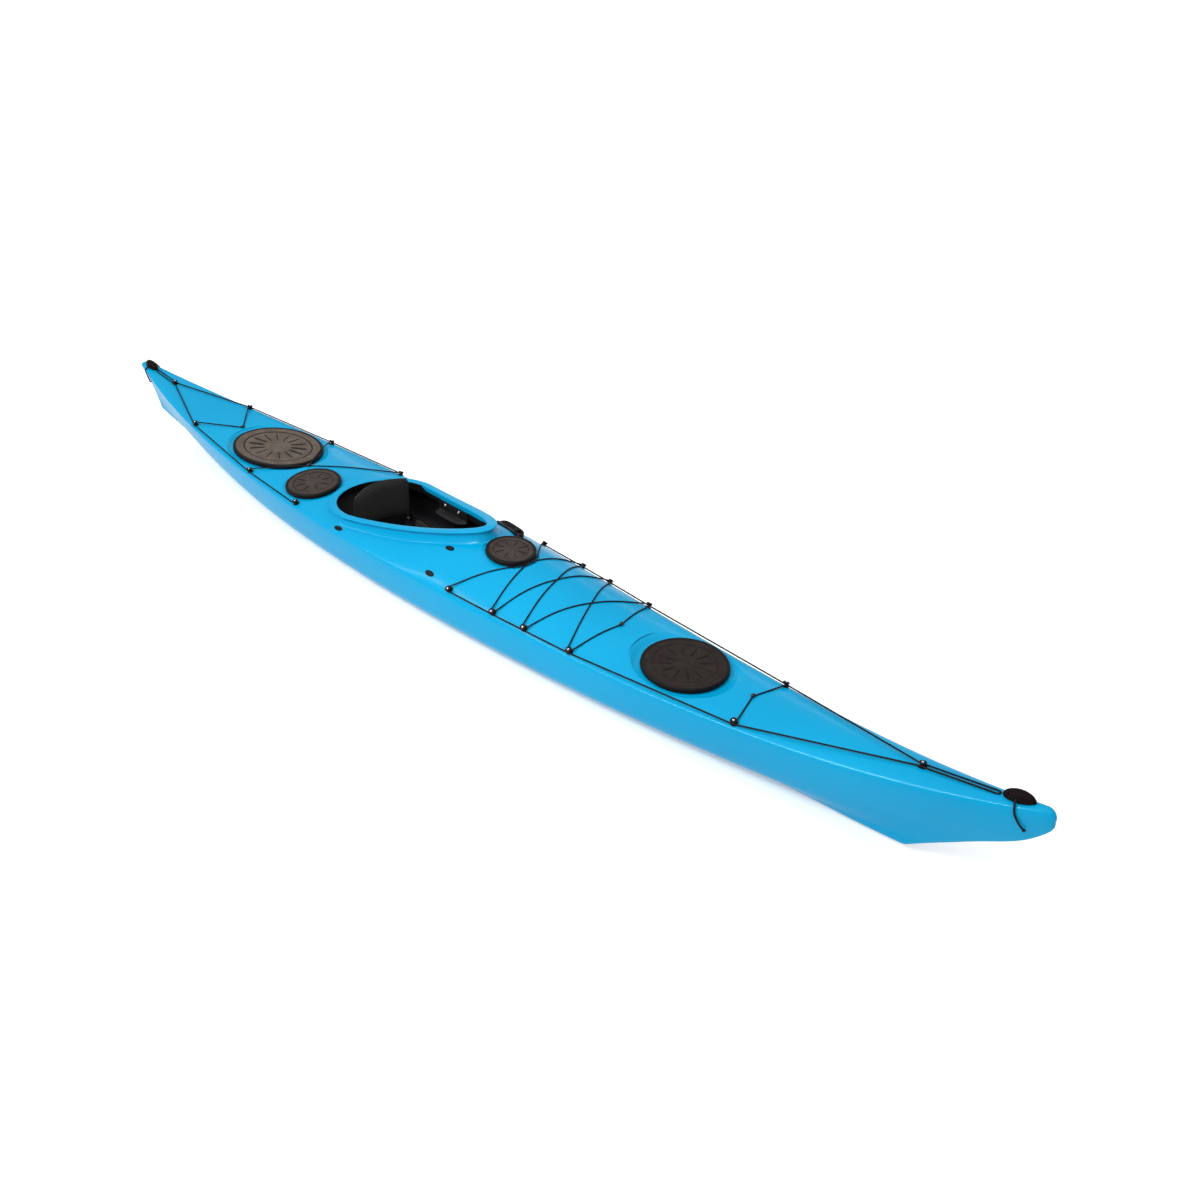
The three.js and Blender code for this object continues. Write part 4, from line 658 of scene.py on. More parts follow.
def hatch_collar(name, hatch):
    profile = [(-36, 0.4), (-8.6, 0.4), (-8.4, 1), (-8.4, 14), (-9.2, 15), (-13.6, 15), (-14.4, 14)]
    profile += [(-14.4, 5.4), (-15, 4.6), (-35.4, 4.4), (-36, 3.6)]
    rings = [oval(hatch["long"] + o, hatch["wide"] + o, h) for o, h in profile]
    parts = [(rings, skin(rings, loop=True), 0)]
    for i in range(hatch["ribs"]):
        angle = i / hatch["ribs"] * 2 * math.pi
        at = ((hatch["long"] - 24) * math.cos(angle), (hatch["wide"] - 24) * math.sin(angle), 0)
        head = turned(((4, 4.3), (4, 5.6), (3, 6.6), (1.2, 7)), 12) + at
        parts.append((head, skin(head), 1))
    points, faces, indices = several(parts)
    points = placed(points, hatch["seat"])
    collar = new_piece(name + "_collar", points, faces, [collar_plastic, bright_steel], indices)
    smooth_over(collar, 40)
    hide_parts(name + "_hatch_rim")
    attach(collar, "hull")


lids = {}
for name, hatch in hatches.items():
    lids[name] = hatch_lid(name, hatch, lid_rubbers[name])
    hatch_collar(name, hatch)


# Bulkheads and pod: plates of foam, and a thin tub under the small hatch
# The bulkheads are thick closed-cell foam glued across the hull. The pod is a drawn black tub.
def dress(material, *names):
    for node in names:
        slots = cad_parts[node].data.materials
        slots.clear()
        slots.append(material)


cell_foam = surface("cell_foam", (0.05, 0.05, 0.053), (0.028, 0.028, 0.03), 260, (0.8, 0.95), 1400, 0.0006)
tub_plastic = surface("tub_plastic", (0.022, 0.022, 0.024), (0.014, 0.014, 0.016), 30, (0.3, 0.45), 400,
                      0.0001)
dress(cell_foam, "front_bulkhead", "rear_bulkhead", "day_bulkhead")
dress(tub_plastic, "pod_box")


# Seat: a moulded bucket pan with a slim cushion and foam hip pads
# The pan is one black moulding with turned-up sides on two foot beams. The cushion is padded fabric with a
# corded edge and sewn channels; the hip pads are soft foam stuck to the sides.
seat_plastic = surface("seat_plastic", (0.008, 0.0075, 0.008), (0.004, 0.0035, 0.004), 18, (0.36, 0.52), 650,
                       0.0003, Specular_IOR_Level=0.2)
seat_rear, seat_front, seat_half, pan_thickness = -562.0, -242.0, 170.0, 5
beam_y, pivot_x, pivot_z = 95, -527.0, 118.0
seat_along = [(0, 0.75, 0.3), (0.12, 1, 0.05), (0.45, 1, 0), (0.7, 0.7, 0.1), (0.88, 0.35, 0.6), (1, 0.2, 1)]
seat_across = [(0, 0), (0.5, 0.02), (0.78, 0.14), (0.92, 0.42), (1, 1)]


def seat_height(x, share, inset):
    """The pan's height at a place and a share of its half width, at an inset above its underside."""
    along = (x - seat_rear) / (seat_front - seat_rear)
    side = along_curve([(a, s) for a, s, _ in seat_along], along)
    lift = along_curve([(a, l) for a, _, l in seat_along], along)
    height = along_curve(seat_across, abs(share))
    return 40 + 18 * lift + inset * (1 - height) + height * 84 * side


across_shares = list(np.linspace(-1, 1, 49))
rings = []
for x in np.linspace(seat_rear, seat_front, 42):
    roll = 2.0 * max(0, abs(2 * (x - seat_rear) / (seat_front - seat_rear) - 1) - 0.9) * 10
    outer = [(x, s * seat_half, seat_height(x, s, 0) + roll * 0.4) for s in across_shares]
    inside = seat_half - pan_thickness
    inner = [(x, s * inside, seat_height(x, s, pan_thickness) - roll * 0.4) for s in reversed(across_shares)]
    tip = [(x, seat_half - o, outer[-1][2] + h) for o, h in ((0.6, 2.2), (2.5, 3.2), (4.4, 2.2))]
    rings.append(outer + tip + inner + [(a, -b, c) for a, b, c in reversed(tip)])
parts = [(rings, skin(rings), 0)]
bolt_profile = [(5, 168), (5, 151.8), (8.5, 151.5), (8.5, 149), (7.4, 147.8), (4, 147.2)]
bolt_profile += [(3.4, 148.6), (1, 148.7)]
for side in (1, -1):
    beam = []
    for x in np.linspace(seat_rear + 26, seat_front - 26, 20):
        top = seat_height(x, beam_y / seat_half, 2.5)
        section = ((-11, 16), (11, 16), (13, 19), (13, top), (-13, top), (-13, 19))
        beam.append([(x, side * beam_y + dy, z) for dy, z in section])
    parts.append((beam, skin(beam), 0))
    bolt = turned(bolt_profile, 24)
    towards_side = (np.array([(1, 0, 0), (0, 0, 1), (0, side, 0)]), (pivot_x, 0, pivot_z))
    parts.append((placed(bolt, towards_side), skin(bolt), 1))
points, faces, indices = several(parts)
seat = new_piece("seat_pan", points, faces, [seat_plastic, bright_steel], indices)
smooth_over(seat, 40)
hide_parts("seat_shell")
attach(seat, "hull")


def woven(name, light, dark, pitch, depth, rough=0.85):
    """Woven cover cloth: crossed threads at a pitch in metres, with slight dusty mottling."""
    material = surface(name, light, dark, 35, (rough - 0.08, rough + 0.08), 900, 0.0001, Sheen_Weight=0.06)
    tree = material.node_tree
    where = next(n for n in tree.nodes if n.type == "TEX_COORD")
    relief = next(n for n in tree.nodes if n.type == "BUMP")
    threads = []
    for direction in ("X", "Y", "Z"):
        wave = tree.nodes.new("ShaderNodeTexWave")
        wave.bands_direction = direction
        wave.inputs["Scale"].default_value = 0.314 / pitch
        wave.inputs["Distortion"].default_value = 0.6
        tree.links.new(where.outputs["Object"], wave.inputs["Vector"])
        threads.append(wave)
    crossed = threads[0].outputs["Fac"]
    for wave in threads[1:]:
        join = tree.nodes.new("ShaderNodeMath")
        join.operation = "MULTIPLY_ADD"
        join.inputs[1].default_value = 0.5
        tree.links.new(crossed, join.inputs[0])
        tree.links.new(wave.outputs["Fac"], join.inputs[2])
        crossed = join.outputs["Value"]
    relief.inputs["Distance"].default_value = depth
    tree.links.new(crossed, relief.inputs["Height"])
    return material


cushion_cloth = woven("cushion_cloth", (0.009, 0.008, 0.009), (0.004, 0.0035, 0.004), 0.0016, 0.00035)
piping_cloth = woven("piping_cloth", (0.006, 0.006, 0.007), (0.003, 0.003, 0.003), 0.0010, 0.0002, 0.7)


def tube_rings(path, radius, sides, loop=False):
    """Rings round a path, for cords and piping."""
    points = np.array(path, float)
    ahead = np.roll(points, -1, 0)
    back = np.roll(points, 1, 0)
    if not loop:
        ahead[-1], back[0] = points[-1], points[0]
    along = ahead - back
    along /= np.linalg.norm(along, axis=1, keepdims=True) + 1e-9
    up = np.tile((0.0, 0.0, 1.0), (len(points), 1))
    steep = np.abs(along[:, 2]) > 0.97
    up[steep] = (1.0, 0.0, 0.0)
    across = np.cross(up, along)
    across /= np.linalg.norm(across, axis=1, keepdims=True) + 1e-9
    top = np.cross(along, across)
    rings = [points + radius * (across * math.cos(a) + top * math.sin(a)) for a in turns_of(sides)]
    return np.stack(rings, 1)


# The cushion: a crowned pad drawn in at its sides, with two sewn channels and a piped edge
seat_middle = (seat_rear + seat_front) / 2
cushion_half_long, cushion_half_wide, cushion_height, channel_share, channel_depth = 124, 122, 31, 0.34, 3.4
square = lambda v: math.copysign(abs(v) ** 0.55, v)
cushion_levels = [(0, 0.93), (0.12, 0.985), (0.3, 1), (0.5, 0.992), (0.62, 0.965), (0.72, 0.93), (0.8, 0.86)]
cushion_levels += [(0.86, 0.76), (0.9, 0.6), (0.92, 0.42), (0.93, 0.22), (0.935, 0.03)]
cushion_rings, piping_path = [], []
for level, share in cushion_levels:
    ring = []
    for a in turns_of(88):
        u, v = square(math.cos(a)) * share, square(math.sin(a)) * share
        x, y = seat_middle + cushion_half_long * u, cushion_half_wide * v
        low = seat_height(x, y / seat_half, pan_thickness) + 0.6
        high = seat_height(x, 0, pan_thickness) + cushion_height
        from_channel = (abs(u) - channel_share) * cushion_half_long / 4.5
        channel = channel_depth * math.exp(-from_channel**2) if level > 0.7 else 0
        ring.append((x, y, low + (high - low) * level - channel))
        if level == 0.3:
            piping_path.append((x, y, ring[-1][2] + 3))
    cushion_rings.append(ring)
piping = tube_rings(piping_path, 2.0, 8, loop=True)
parts = [(cushion_rings, skin(cushion_rings), 0), (piping, skin(piping, loop=True), 1)]
points, faces, indices = several(parts)
cushion = new_piece("seat_cushion_pad", points, faces, [cushion_cloth, piping_cloth], indices)
smooth_over(cushion, 50)
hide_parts("seat_cushion")
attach(cushion, "hull")

hip_foam = surface("hip_foam", (0.012, 0.011, 0.012), (0.006, 0.006, 0.006), 80, (0.75, 0.92), 1600, 0.0004)
hip_rear, hip_length, hip_low_share, hip_gap = -488, 150, 0.925, 5.4
for side, side_name in ((1, "port"), (-1, "starboard")):
    rings = []
    for t in np.linspace(0, 1, 21):
        x = hip_rear + hip_length * t
        full = max(0.05, 1 - abs(2 * t - 1) ** 8) ** 0.5
        low = np.array((hip_low_share * (seat_half - hip_gap), seat_height(x, hip_low_share, hip_gap)))
        high = np.array((seat_half - hip_gap, seat_height(x, 1, hip_gap) - 1))
        middle, half = (low + high) / 2, (high - low) / 2
        ring = []
        for a in turns_of(24):
            c, s = math.cos(a), math.sin(a)
            up = half * 0.97 * full * math.copysign(abs(s) ** 0.6, s)
            inward = 6.6 + 6.3 * full * math.copysign(abs(c) ** 0.7, c)
            spot = middle + up - np.array((inward, 0))
            ring.append((x, side * spot[0], spot[1]))
        rings.append(ring)
    pad = new_piece("hip_pad_" + side_name + "_foam", rings, skin(rings), [hip_foam])
    smooth_over(pad, 50)
    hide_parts("hip_pad_" + side_name)
    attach(pad, "hull")


# Backrest: a curved plastic plate on two arms, with a deep fabric pad
# The plate turns on steel bolts at the seat's sides. The pad is foam in stretch cloth: it crowns towards the
# middle, has a sewn border a finger's width in, and a piped edge.
back_half, back_low, back_top, back_hollow, pad_wider = 140.0, 130.0, 330.0, 45, 15.0


def back_point(u, v, off, grow=0.0, wider=0.0):
    """u across from -1 to 1, v up from -1 to 1, and a distance in front of the plate's rear face."""
    y = u * (back_half - grow + wider)
    reach = y / (back_half + wider)
    top = back_top - grow - (26 - wider) * reach**4 + 0.3 * wider
    low = back_low + grow + 0.3 * wider
    z = low + (top - low) * (v + 1) / 2
    x = pivot_x - back_hollow * (1 - reach**2) + 8 * (z - back_low) / (back_top - back_low) + off
    return (x, y, z)


def rounded_sheet(grow, front, back, us, vs, wider=0.0):
    """A closed pad or plate between two surfaces over a square with rounded corners."""
    rings = []
    for v in vs:
        narrow = 1 - abs(v) ** 5 * (0.1 - 0.003 * wider)
        ahead = [back_point(u * narrow, v, front(u, v), grow, wider) for u in us]
        rings.append(ahead + [back_point(u * narrow, v, back(u, v), grow, wider) for u in reversed(us)])
    return rings


us = list(np.sin(np.linspace(-1, 1, 41) * math.pi / 2))
vs = list(np.sin(np.linspace(-1, 1, 37) * math.pi / 2))
plate = rounded_sheet(0, lambda u, v: 5.0, lambda u, v: 0.0, us, vs)
parts = [(plate, skin(plate), 0)]
arm_levels = [(105.5, 5), (107, 9), (111, 12.2), (118, 13), (128, 13), (138, 13), (142, 12)]
arm_section = [(-1, 0.1), (-0.9, 0), (0.9, 0), (1, 0.1), (1, 0.9), (0.9, 1), (-0.9, 1), (-1, 0.9)]
bridge_section = [(-0.95, 131.5), (0.95, 131.5), (1, 132.5), (1, 141)]
bridge_section += [(0.95, 142), (-0.95, 142), (-1, 141), (-1, 132.5)]
for side in (1, -1):
    ring_at = lambda z, wide: [(pivot_x + wide * s, side * (152 + 5.5 * t), z) for s, t in arm_section]
    arm = [ring_at(*level) for level in arm_levels]
    bridge = [[(pivot_x + 13 * s, side * y, z) for s, z in bridge_section] for y in (134.5, 145, 157.4)]
    parts += [(arm, skin(arm), 0), (bridge, skin(bridge), 0)]
points, faces, indices = several(parts)
back_plate = new_piece("backrest_plate", points, faces, [seat_plastic], indices)
smooth_over(back_plate, 40)
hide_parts("backrest_shell")
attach(back_plate, "backrest")

pad_cloth = woven("pad_cloth", (0.007, 0.0055, 0.0065), (0.0035, 0.003, 0.0035), 0.0018, 0.0003, 0.8)


def pad_front(u, v):
    """How far the pad's face stands out: a full body with a sewn border, crowned and deeper at the loins."""
    edge = max(abs(u), abs(v))
    body = (1 - abs(u) ** 7) ** 0.5 * (1 - abs(v) ** 7) ** 0.5
    border = 3.2 * math.exp(-(((1 - edge) - 0.13) / 0.022) ** 2)
    crown = 3.0 * (1 - u * u) * (1 - v * v)
    lumbar = 2.5 * math.exp(-((v + 0.35) / 0.4) ** 2) * (1 - u * u)
    return 5.4 + 1.2 + 14.5 * body + crown + lumbar - border * body


us, vs = list(np.linspace(-1, 1, 81)), list(np.linspace(-1, 1, 65))
pad_sheet = rounded_sheet(9, pad_front, lambda u, v: 5.5, us, vs, pad_wider)
rising = list(np.linspace(-1, 1, 30))
falling = list(np.linspace(1, -1, 30))
border = [(u, 1) for u in rising] + [(1, v) for v in falling[1:]]
border += [(u, -1) for u in falling[1:]] + [(-1, v) for v in rising[1:-1]]
path = [back_point(u * (1 - abs(v) ** 5 * 0.055), v, 8.6, 7.6, pad_wider) for u, v in border]
piping = tube_rings(path, 2.2, 8, loop=True)
points, faces, indices = several([(pad_sheet, skin(pad_sheet), 0), (piping, skin(piping, loop=True), 1)])
back_pad = new_piece("backrest_padding", points, faces, [pad_cloth, piping_cloth], indices)
smooth_over(back_pad, 60)
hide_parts("backrest_pad")
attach(back_pad, "backrest")


# Thigh braces: hooked plates bolted inside the coaming
# Each is a black moulding that runs along the coaming wall and hooks in over the thigh, with two steel bolts.
brace_rear, brace_front, brace_plate, bolt_depth = -345, -70, 6.4, 34
bolt_profile = [(6.5, -0.5), (6.5, 0.8), (5.2, 2.4), (3.4, 3), (2.8, 2.0), (0.6, 1.9)]
for side, side_name in ((1, "port"), (-1, "starboard")):
    run = [(p, n) for p, n in outline if p[1] * side > 0 and brace_rear < p[0] < brace_front]
    run.sort(key=lambda item: item[0][0])
    rings = []
    for i, (p, n) in enumerate(run):
        t = i / (len(run) - 1)
        full = max(0.0, 1 - abs(2 * t - 1) ** 4) ** 0.5
        hook = 12 + 34 * full
        profile = [(-0.4, 22), (-0.4, 66), (-2, 68.5), (-0.5 * hook, 70.5), (-hook + 2, 72), (-hook, 70.5)]
        profile += [(-hook, 68), (-hook + 2, 66.4), (-0.5 * hook, 64), (-10, 62), (-7, 58.5)]
        profile += [(-brace_plate, 52), (-brace_plate, 25), (-5, 22)]
        rings.append([(*(p + o * n), rim_top_at(p[0]) - d) for o, d in profile])
    parts = [(rings, skin(rings), 0)]
    for spot in (0.25, 0.72):
        p, n = run[int(spot * len(run))]
        centre = np.array((*(p - brace_plate * n), rim_top_at(p[0]) - bolt_depth))
        flat = np.cross((*n, 0.0), (0, 0, 1.0))
        head = turned(bolt_profile, 18)
        parts.append((placed(head, (np.array([flat, (0, 0, 1), (*-n, 0)]), centre)), skin(head), 1))
    points, faces, indices = several(parts)
    materials = [seat_plastic, bright_steel]
    brace = new_piece("thigh_brace_" + side_name + "_moulding", points, faces, materials, indices)
    smooth_over(brace, 40)
    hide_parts("thigh_brace_" + side_name)
    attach(brace, "hull")


# Foot rails and pegs: extruded rails inside the bow, with a sliding pedal on each
# The rails are brushed metal and follow the hull's sides. The pedals are moulded plastic.
rail_metal = surface("rail_metal", (0.55, 0.56, 0.58), (0.42, 0.43, 0.45), 12, (0.28, 0.4), 600, 0.00008,
                     Metallic=1.0)
pedal_plastic = surface("pedal_plastic", (0.022, 0.022, 0.024), (0.013, 0.013, 0.015), 40, (0.45, 0.62), 800,
                        0.0003)
dress(rail_metal, "foot_rail_port", "foot_rail_starboard")
dress(pedal_plastic, "foot_peg_port", "foot_peg_starboard")


# Skeg: a smooth black blade in its box, with the sheathed cable
# The blade is moulded plastic and swings down out of the keel on a pin. The box stands over its slot.
blade_plastic = surface("blade_plastic", (0.03, 0.03, 0.032), (0.018, 0.018, 0.02), 14, (0.3, 0.45), 300,
                        0.0001)
sheath_plastic = surface("sheath_plastic", (0.02, 0.02, 0.022), (0.014, 0.014, 0.015), 60, (0.35, 0.5), 900,
                         0.00008)
dress(tub_plastic, "skeg_box")
dress(blade_plastic, "skeg_blade")
dress(sheath_plastic, "skeg_cable")


# Skeg slider: a long track sunk beside the coaming, and its knob
# The track is a black moulding with a slot; the knob slides aft in it to let the skeg down.
slider_plastic = surface("slider_plastic", (0.006, 0.005, 0.005), (0.003, 0.003, 0.003), 40, (0.35, 0.5), 700,
                         0.00015, Specular_IOR_Level=0.12)
slider_x, slider_y, slider_angle, knob_forward = 117, 168, -0.38, 65
slider_axes, slider_origin = deck_frame(slider_x, slider_y, 59, 19, 0)
across_turn, along_turn = math.sin(slider_angle), math.cos(slider_angle)
turn = np.array(((along_turn, across_turn, 0), (-across_turn, along_turn, 0), (0, 0, 1)))
slider_frame = (turn @ slider_axes, slider_origin)


def stadium_rings(profile):
    """Rings with straight sides and half-round ends, from half lengths, half widths and heights."""
    half_round = [(math.cos(a), math.sin(a)) for a in np.linspace(-math.pi / 2, math.pi / 2, 24)]
    rings = []
    for long, wide, height in profile:
        end = [(long - wide + wide * c, wide * s, height) for c, s in half_round]
        rings.append(end + [(-x, -y, z) for x, y, z in end])
    return rings


track = [(118, 19, -14), (118, 19, 4.5), (117.2, 18.2, 6.6), (115.5, 16.5, 7.7), (113, 14, 8)]
track = stadium_rings(track + [(80, 8.6, 8), (78.6, 7.2, 7.4), (78, 6.5, 6), (78, 6.5, 3)])
fence = []
for t in np.linspace(-1, 1, 33):
    x, rise = 112 * t, 15 * math.sqrt(max(0.0, 1 - t**4))
    inside = 18 * math.sqrt(max(0.0, 1 - abs(t) ** 8)) - 2.5
    section = [(inside, 4), (inside + 0.6, 8 + 0.8 * rise), (inside + 1.6, 8 + rise)]
    section.append((inside + 3.4, 8.2 + rise))
    section += [(inside + 5, 7.4 + 0.9 * rise), (inside + 6.6, 6 + 0.4 * rise), (inside + 8.5, -2)]
    fence.append([(x, y, z) for y, z in section])
points, faces, indices = several([(track, skin(track), 0), (fence, skin(fence), 0)])
slider_track = new_piece("slider_rail", placed(points, slider_frame), faces, [slider_plastic])
smooth_over(slider_track, 40)
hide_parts("slider_track")
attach(slider_track, "hull")
stem = stadium_rings([(6, 5.9, 3.5), (6, 5.9, 14)])
cap = [(11.5, 9.5, 8.7), (13, 11, 10), (13, 11, 16.5), (12.3, 10.3, 19), (10, 8, 20.6), (5, 3.5, 21)]
cap = stadium_rings(cap)
parts = [(stem, skin(stem), 0), (cap, skin(cap), 0)]
for x in (-6, -2, 2, 6):
    grip = [[(x + dx, y, 20.3 + dz) for dx, dz, _ in oval(0.9, 1.1, 0, 10)] for y in (-6.5, 6.5)]
    parts.append((grip, skin(grip), 0))
points, faces, indices = several(parts)
points = placed(np.array(points) + (knob_forward, 0, 0), slider_frame)
knob = new_piece("slider_grip", points, faces, [slider_plastic], indices)
smooth_over(knob, 45)
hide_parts("slider_knob")
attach(knob, "slider")


# Deck fittings: black plastic buttons, each held by a bright pan-head screw
# A round foot, a waist that the cords pass, and a cap with a recess for the screw's cross-slotted head.
trees = []
for guide in [deck_form] + list(lids.values()):
    corners = [vertex.co.copy() for vertex in guide.data.vertices]
    trees.append(BVHTree.FromPolygons(corners, [tuple(face.vertices) for face in guide.data.polygons]))
bpy.data.objects.remove(deck_form)


def land_at(x, y):
    """The height of what lies uppermost at a place, and how far its face leans."""
    best = (-1.0, 1.0)
    for tree in trees:
        spot, normal, _, _ = tree.ray_cast(Vector((x * 0.001, y * 0.001, 0.6)), Vector((0, 0, -1)))
        if spot is not None and spot.z * 1000 > best[0]:
            best = (spot.z * 1000, abs(normal.z))
    return best


def resting_frame(x, y, reach_x, reach_y):
    """Axes and origin for a piece that rests on what lies uppermost."""
    at = lambda dx, dy: land_at(x + dx, y + dy)[0]
    middle = at(0, 0)
    slope_x = (at(reach_x, 0) - at(-reach_x, 0)) / (2 * reach_x)
    slope_y = (at(0, reach_y) - at(0, -reach_y)) / (2 * reach_y)
    up = Vector((-slope_x, -slope_y, 1)).normalized()
    return framed(Vector((1, 0, slope_x)).normalized(), up, (x, y, middle + 0.2))


# A line passes each post low down and a bungee above it, and the cap sits over both
seat_gap, cord_gap, foot_height, post_radius, fitting_inset = 0.4, 0.5, 2.5, 5.0, 20
line_radius, bungee_radius = 2.75, 2.5
line_lift = seat_gap + foot_height + cord_gap + line_radius
bungee_lift = line_lift + line_radius + cord_gap + bungee_radius
cap_under = bungee_lift + bungee_radius + cord_gap - seat_gap
places = {
    "bow_centre_fitting": (half_length - 417, 0.0),
    "stern_centre_fitting": (320 - half_length, 0.0),
}
for side, side_name in ((-1, "starboard"), (1, "port")):
    gunwale = lambda x: (x, side * (beam_at(x) - fitting_inset))
    for i, x in enumerate((226, 461, 620, 839)):
        places["foredeck_fitting_%d_%s" % (i + 1, side_name)] = gunwale(x)
    places["bow_fitting_" + side_name] = gunwale(1530)
    for i, x in enumerate((-798 if side < 0 else -716, -1200, -1785)):
        places["aft_fitting_%d_%s" % (i + 1, side_name)] = gunwale(x)

button_plastic = surface("button_plastic", (0.006, 0.006, 0.007), (0.003, 0.003, 0.003), 90, (0.4, 0.55),
                         1200, 0.0001, Specular_IOR_Level=0.12)
fitting_frames = {name: resting_frame(*spot, 14, 14) for name, spot in places.items()}
body_profile = [(0.5, 0), (13.2, 0), (14, 0.6), (13.7, 1.5), (8.5, 2.4), (5.8, 3.3), (5, 4.6)]
body_profile.append((5, cap_under - 1.2))
cap_profile = [(5.7, 0), (11.7, 0), (12.4, 0.6), (12.5, 2), (11.4, 3.5), (8.6, 4.3), (6.4, 4.5)]
cap_profile += [(5.9, 3.4), (0.4, 3.3)]
screw_profile = [(4.6, 3.3), (4.6, 3.9), (4.2, 4.7), (3.6, 5.2), (2.8, 5.5), (2.1, 5.6)]
screw_profile += [(1.4, 5.65), (0.5, 5.65)]
button = turned(body_profile + [(r, cap_under + h) for r, h in cap_profile]) + (0, 0, seat_gap)
screw = turned(screw_profile) + (0, 0, cap_under + seat_gap)

# The screw's cross: every eighth point of its inner rings is the middle of an arm
for ring, (radius, _) in zip(screw, screw_profile):
    for k in range(len(ring)):
        if radius < 3.2 and min(k % 8, 8 - k % 8) < (2 if radius > 2 else 4):
            ring[k][2] -= 1.4

points, faces, indices = several([(button, skin(button), 0), (screw, skin(screw), 1)])
for name, here in fitting_frames.items():
    piece = new_piece(name + "_button", placed(points, here), faces, [button_plastic, bright_steel], indices)
    smooth_over(piece, 35)
    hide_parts(name)
    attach(piece, "hull")


# Deck lines and bungees: braided cord laced through the fittings
# The deck lines run round each end past every fitting; the bungees cross the foredeck, hold the stern hatch
# and end in black beads. All are taut and rest on the deck or a lid.
def braided(name, light, dark, pitch):
    """A braid drawn along a cord's own length, with its crossed strands in relief."""
    material = surface(name, light, dark, 300, (0.6, 0.8), 900, 0.0002, Specular_IOR_Level=0.2)
    tree = material.node_tree
    relief = next(n for n in tree.nodes if n.type == "BUMP")
    along = tree.nodes.new("ShaderNodeUVMap")
    along.uv_map = "along"
    strands = []
    for hand in (1, -1):
        turn = tree.nodes.new("ShaderNodeMapping")
        turn.inputs["Rotation"].default_value[2] = hand * 0.7
        wave = tree.nodes.new("ShaderNodeTexWave")
        wave.inputs["Scale"].default_value = pitch
        tree.links.new(along.outputs["UV"], turn.inputs["Vector"])
        tree.links.new(turn.outputs["Vector"], wave.inputs["Vector"])
        strands.append(wave)
    crossed = tree.nodes.new("ShaderNodeMath")
    crossed.operation = "MAXIMUM"
    tree.links.new(strands[0].outputs["Fac"], crossed.inputs[0])
    tree.links.new(strands[1].outputs["Fac"], crossed.inputs[1])
    tree.links.new(crossed.outputs["Value"], relief.inputs["Height"])
    return material


line_braid = braided("line_braid", (0.006, 0.007, 0.011), (0.002, 0.0025, 0.004), 1.2)
bungee_braid = braided("bungee_braid", (0.006, 0.007, 0.011), (0.002, 0.0025, 0.004), 1.6)
line_end_hand, bungee_end_hand, skin_gap = 1, -1, 0.3
bead_radius, bead_half_long = 7, 11
bead_plastic = surface("bead_plastic", (0.006, 0.006, 0.006), (0.003, 0.003, 0.003), 80, (0.35, 0.5), 900,
                       0.0001)


def round_post(name, before, after, radius, lift, end_hand):
    """The cord's way round a fitting's post, from one neighbour to the next."""
    post = places[name]
    towards = lambda stop: math.atan2(stop[1] - post[1], stop[0] - post[0])
    apart = towards(after) - towards(before)
    between = math.atan2(math.sin(apart), math.cos(apart))
    if before is after:
        hand = end_hand * math.copysign(1, post[1] * math.cos(towards(after)))
    else:
        hand = -1 if between < 0 else 1
    start = towards(before) - hand * math.pi / 2
    sweep = -hand * (math.pi - abs(between))
    steps = max(1, math.ceil(abs(sweep) / (math.pi / 12)))
    angles = [start + sweep * i / steps for i in range(steps + 1)]
    spots = [(radius * math.cos(a), radius * math.sin(a), lift) for a in angles]
    return list(placed(spots, fitting_frames[name]))


def lying_height(x, y, radius):
    """How high a cord's middle lies over the deck or a lid."""
    height, upward = land_at(x, y)
    return height + (radius + skin_gap) / max(upward, 0.45) + skin_gap


def taut_run(start, end, radius):
    """The points between two posts: a straight pull that is lifted only where something stands in its way."""
    steps = max(1, math.ceil(np.linalg.norm(end - start) / 7))
    chain = [start]
    for i in range(1, steps + 1):
        spot = start + (end - start) * (i / steps)
        if i < steps:
            spot[2] = lying_height(spot[0], spot[1], radius)
        while len(chain) > 1:
            a, b = chain[-2], chain[-1]
            share = math.hypot(b[0] - a[0], b[1] - a[1]) / math.hypot(spot[0] - a[0], spot[1] - a[1])
            if b[2] >= a[2] + (spot[2] - a[2]) * share:
                break
            chain.pop()
        chain.append(spot)
    return chain[1:-1]


def laced(stops, radius, lift, end_hand):
    """A cord's whole way past its stops: names of fittings, or places on the deck with a least height."""
    spots = [places[stop] if isinstance(stop, str) else stop for stop in stops]
    around = post_radius + cord_gap + radius
    groups = []
    for i, stop in enumerate(stops):
        if isinstance(stop, str):
            before = spots[i - 1] if i else spots[i + 1]
            after = spots[i + 1] if i + 1 < len(spots) else spots[i - 1]
            groups.append(round_post(stop, before, after, around, lift, end_hand if i == 0 else -end_hand))
        else:
            height = lying_height(stop[0], stop[1], radius)
            if len(stop) > 2:
                height = max(height, land_at(stop[0], stop[1])[0] + stop[2])
            groups.append([np.array((stop[0], stop[1], height))])
    path = list(groups[0])
    for group in groups[1:]:
        path += taut_run(path[-1], group[0], radius) + group
    spaced = [path[0]]
    for spot in path[1:]:
        if np.linalg.norm(spot - spaced[-1]) > 1.2:
            spaced.append(spot)
    return spaced


def evened(path, loop):
    """The same route with its corners rounded, still within a thread's width of it."""
    points = np.array(path)
    cut = []
    count = len(points)
    for i in range(count if loop else count - 1):
        a, b = points[i], points[(i + 1) % count]
        long = np.linalg.norm(b - a)
        if long < 25:
            cut += [a * 0.75 + b * 0.25, a * 0.25 + b * 0.75]
        else:
            n = max(2, int(long / 60))
            near = min(0.25, 5 / long)
            cut += [a + (b - a) * t for t in np.linspace(near, 1 - near, n + 1)]
    return cut if loop else [points[0]] + cut + [points[-1]]


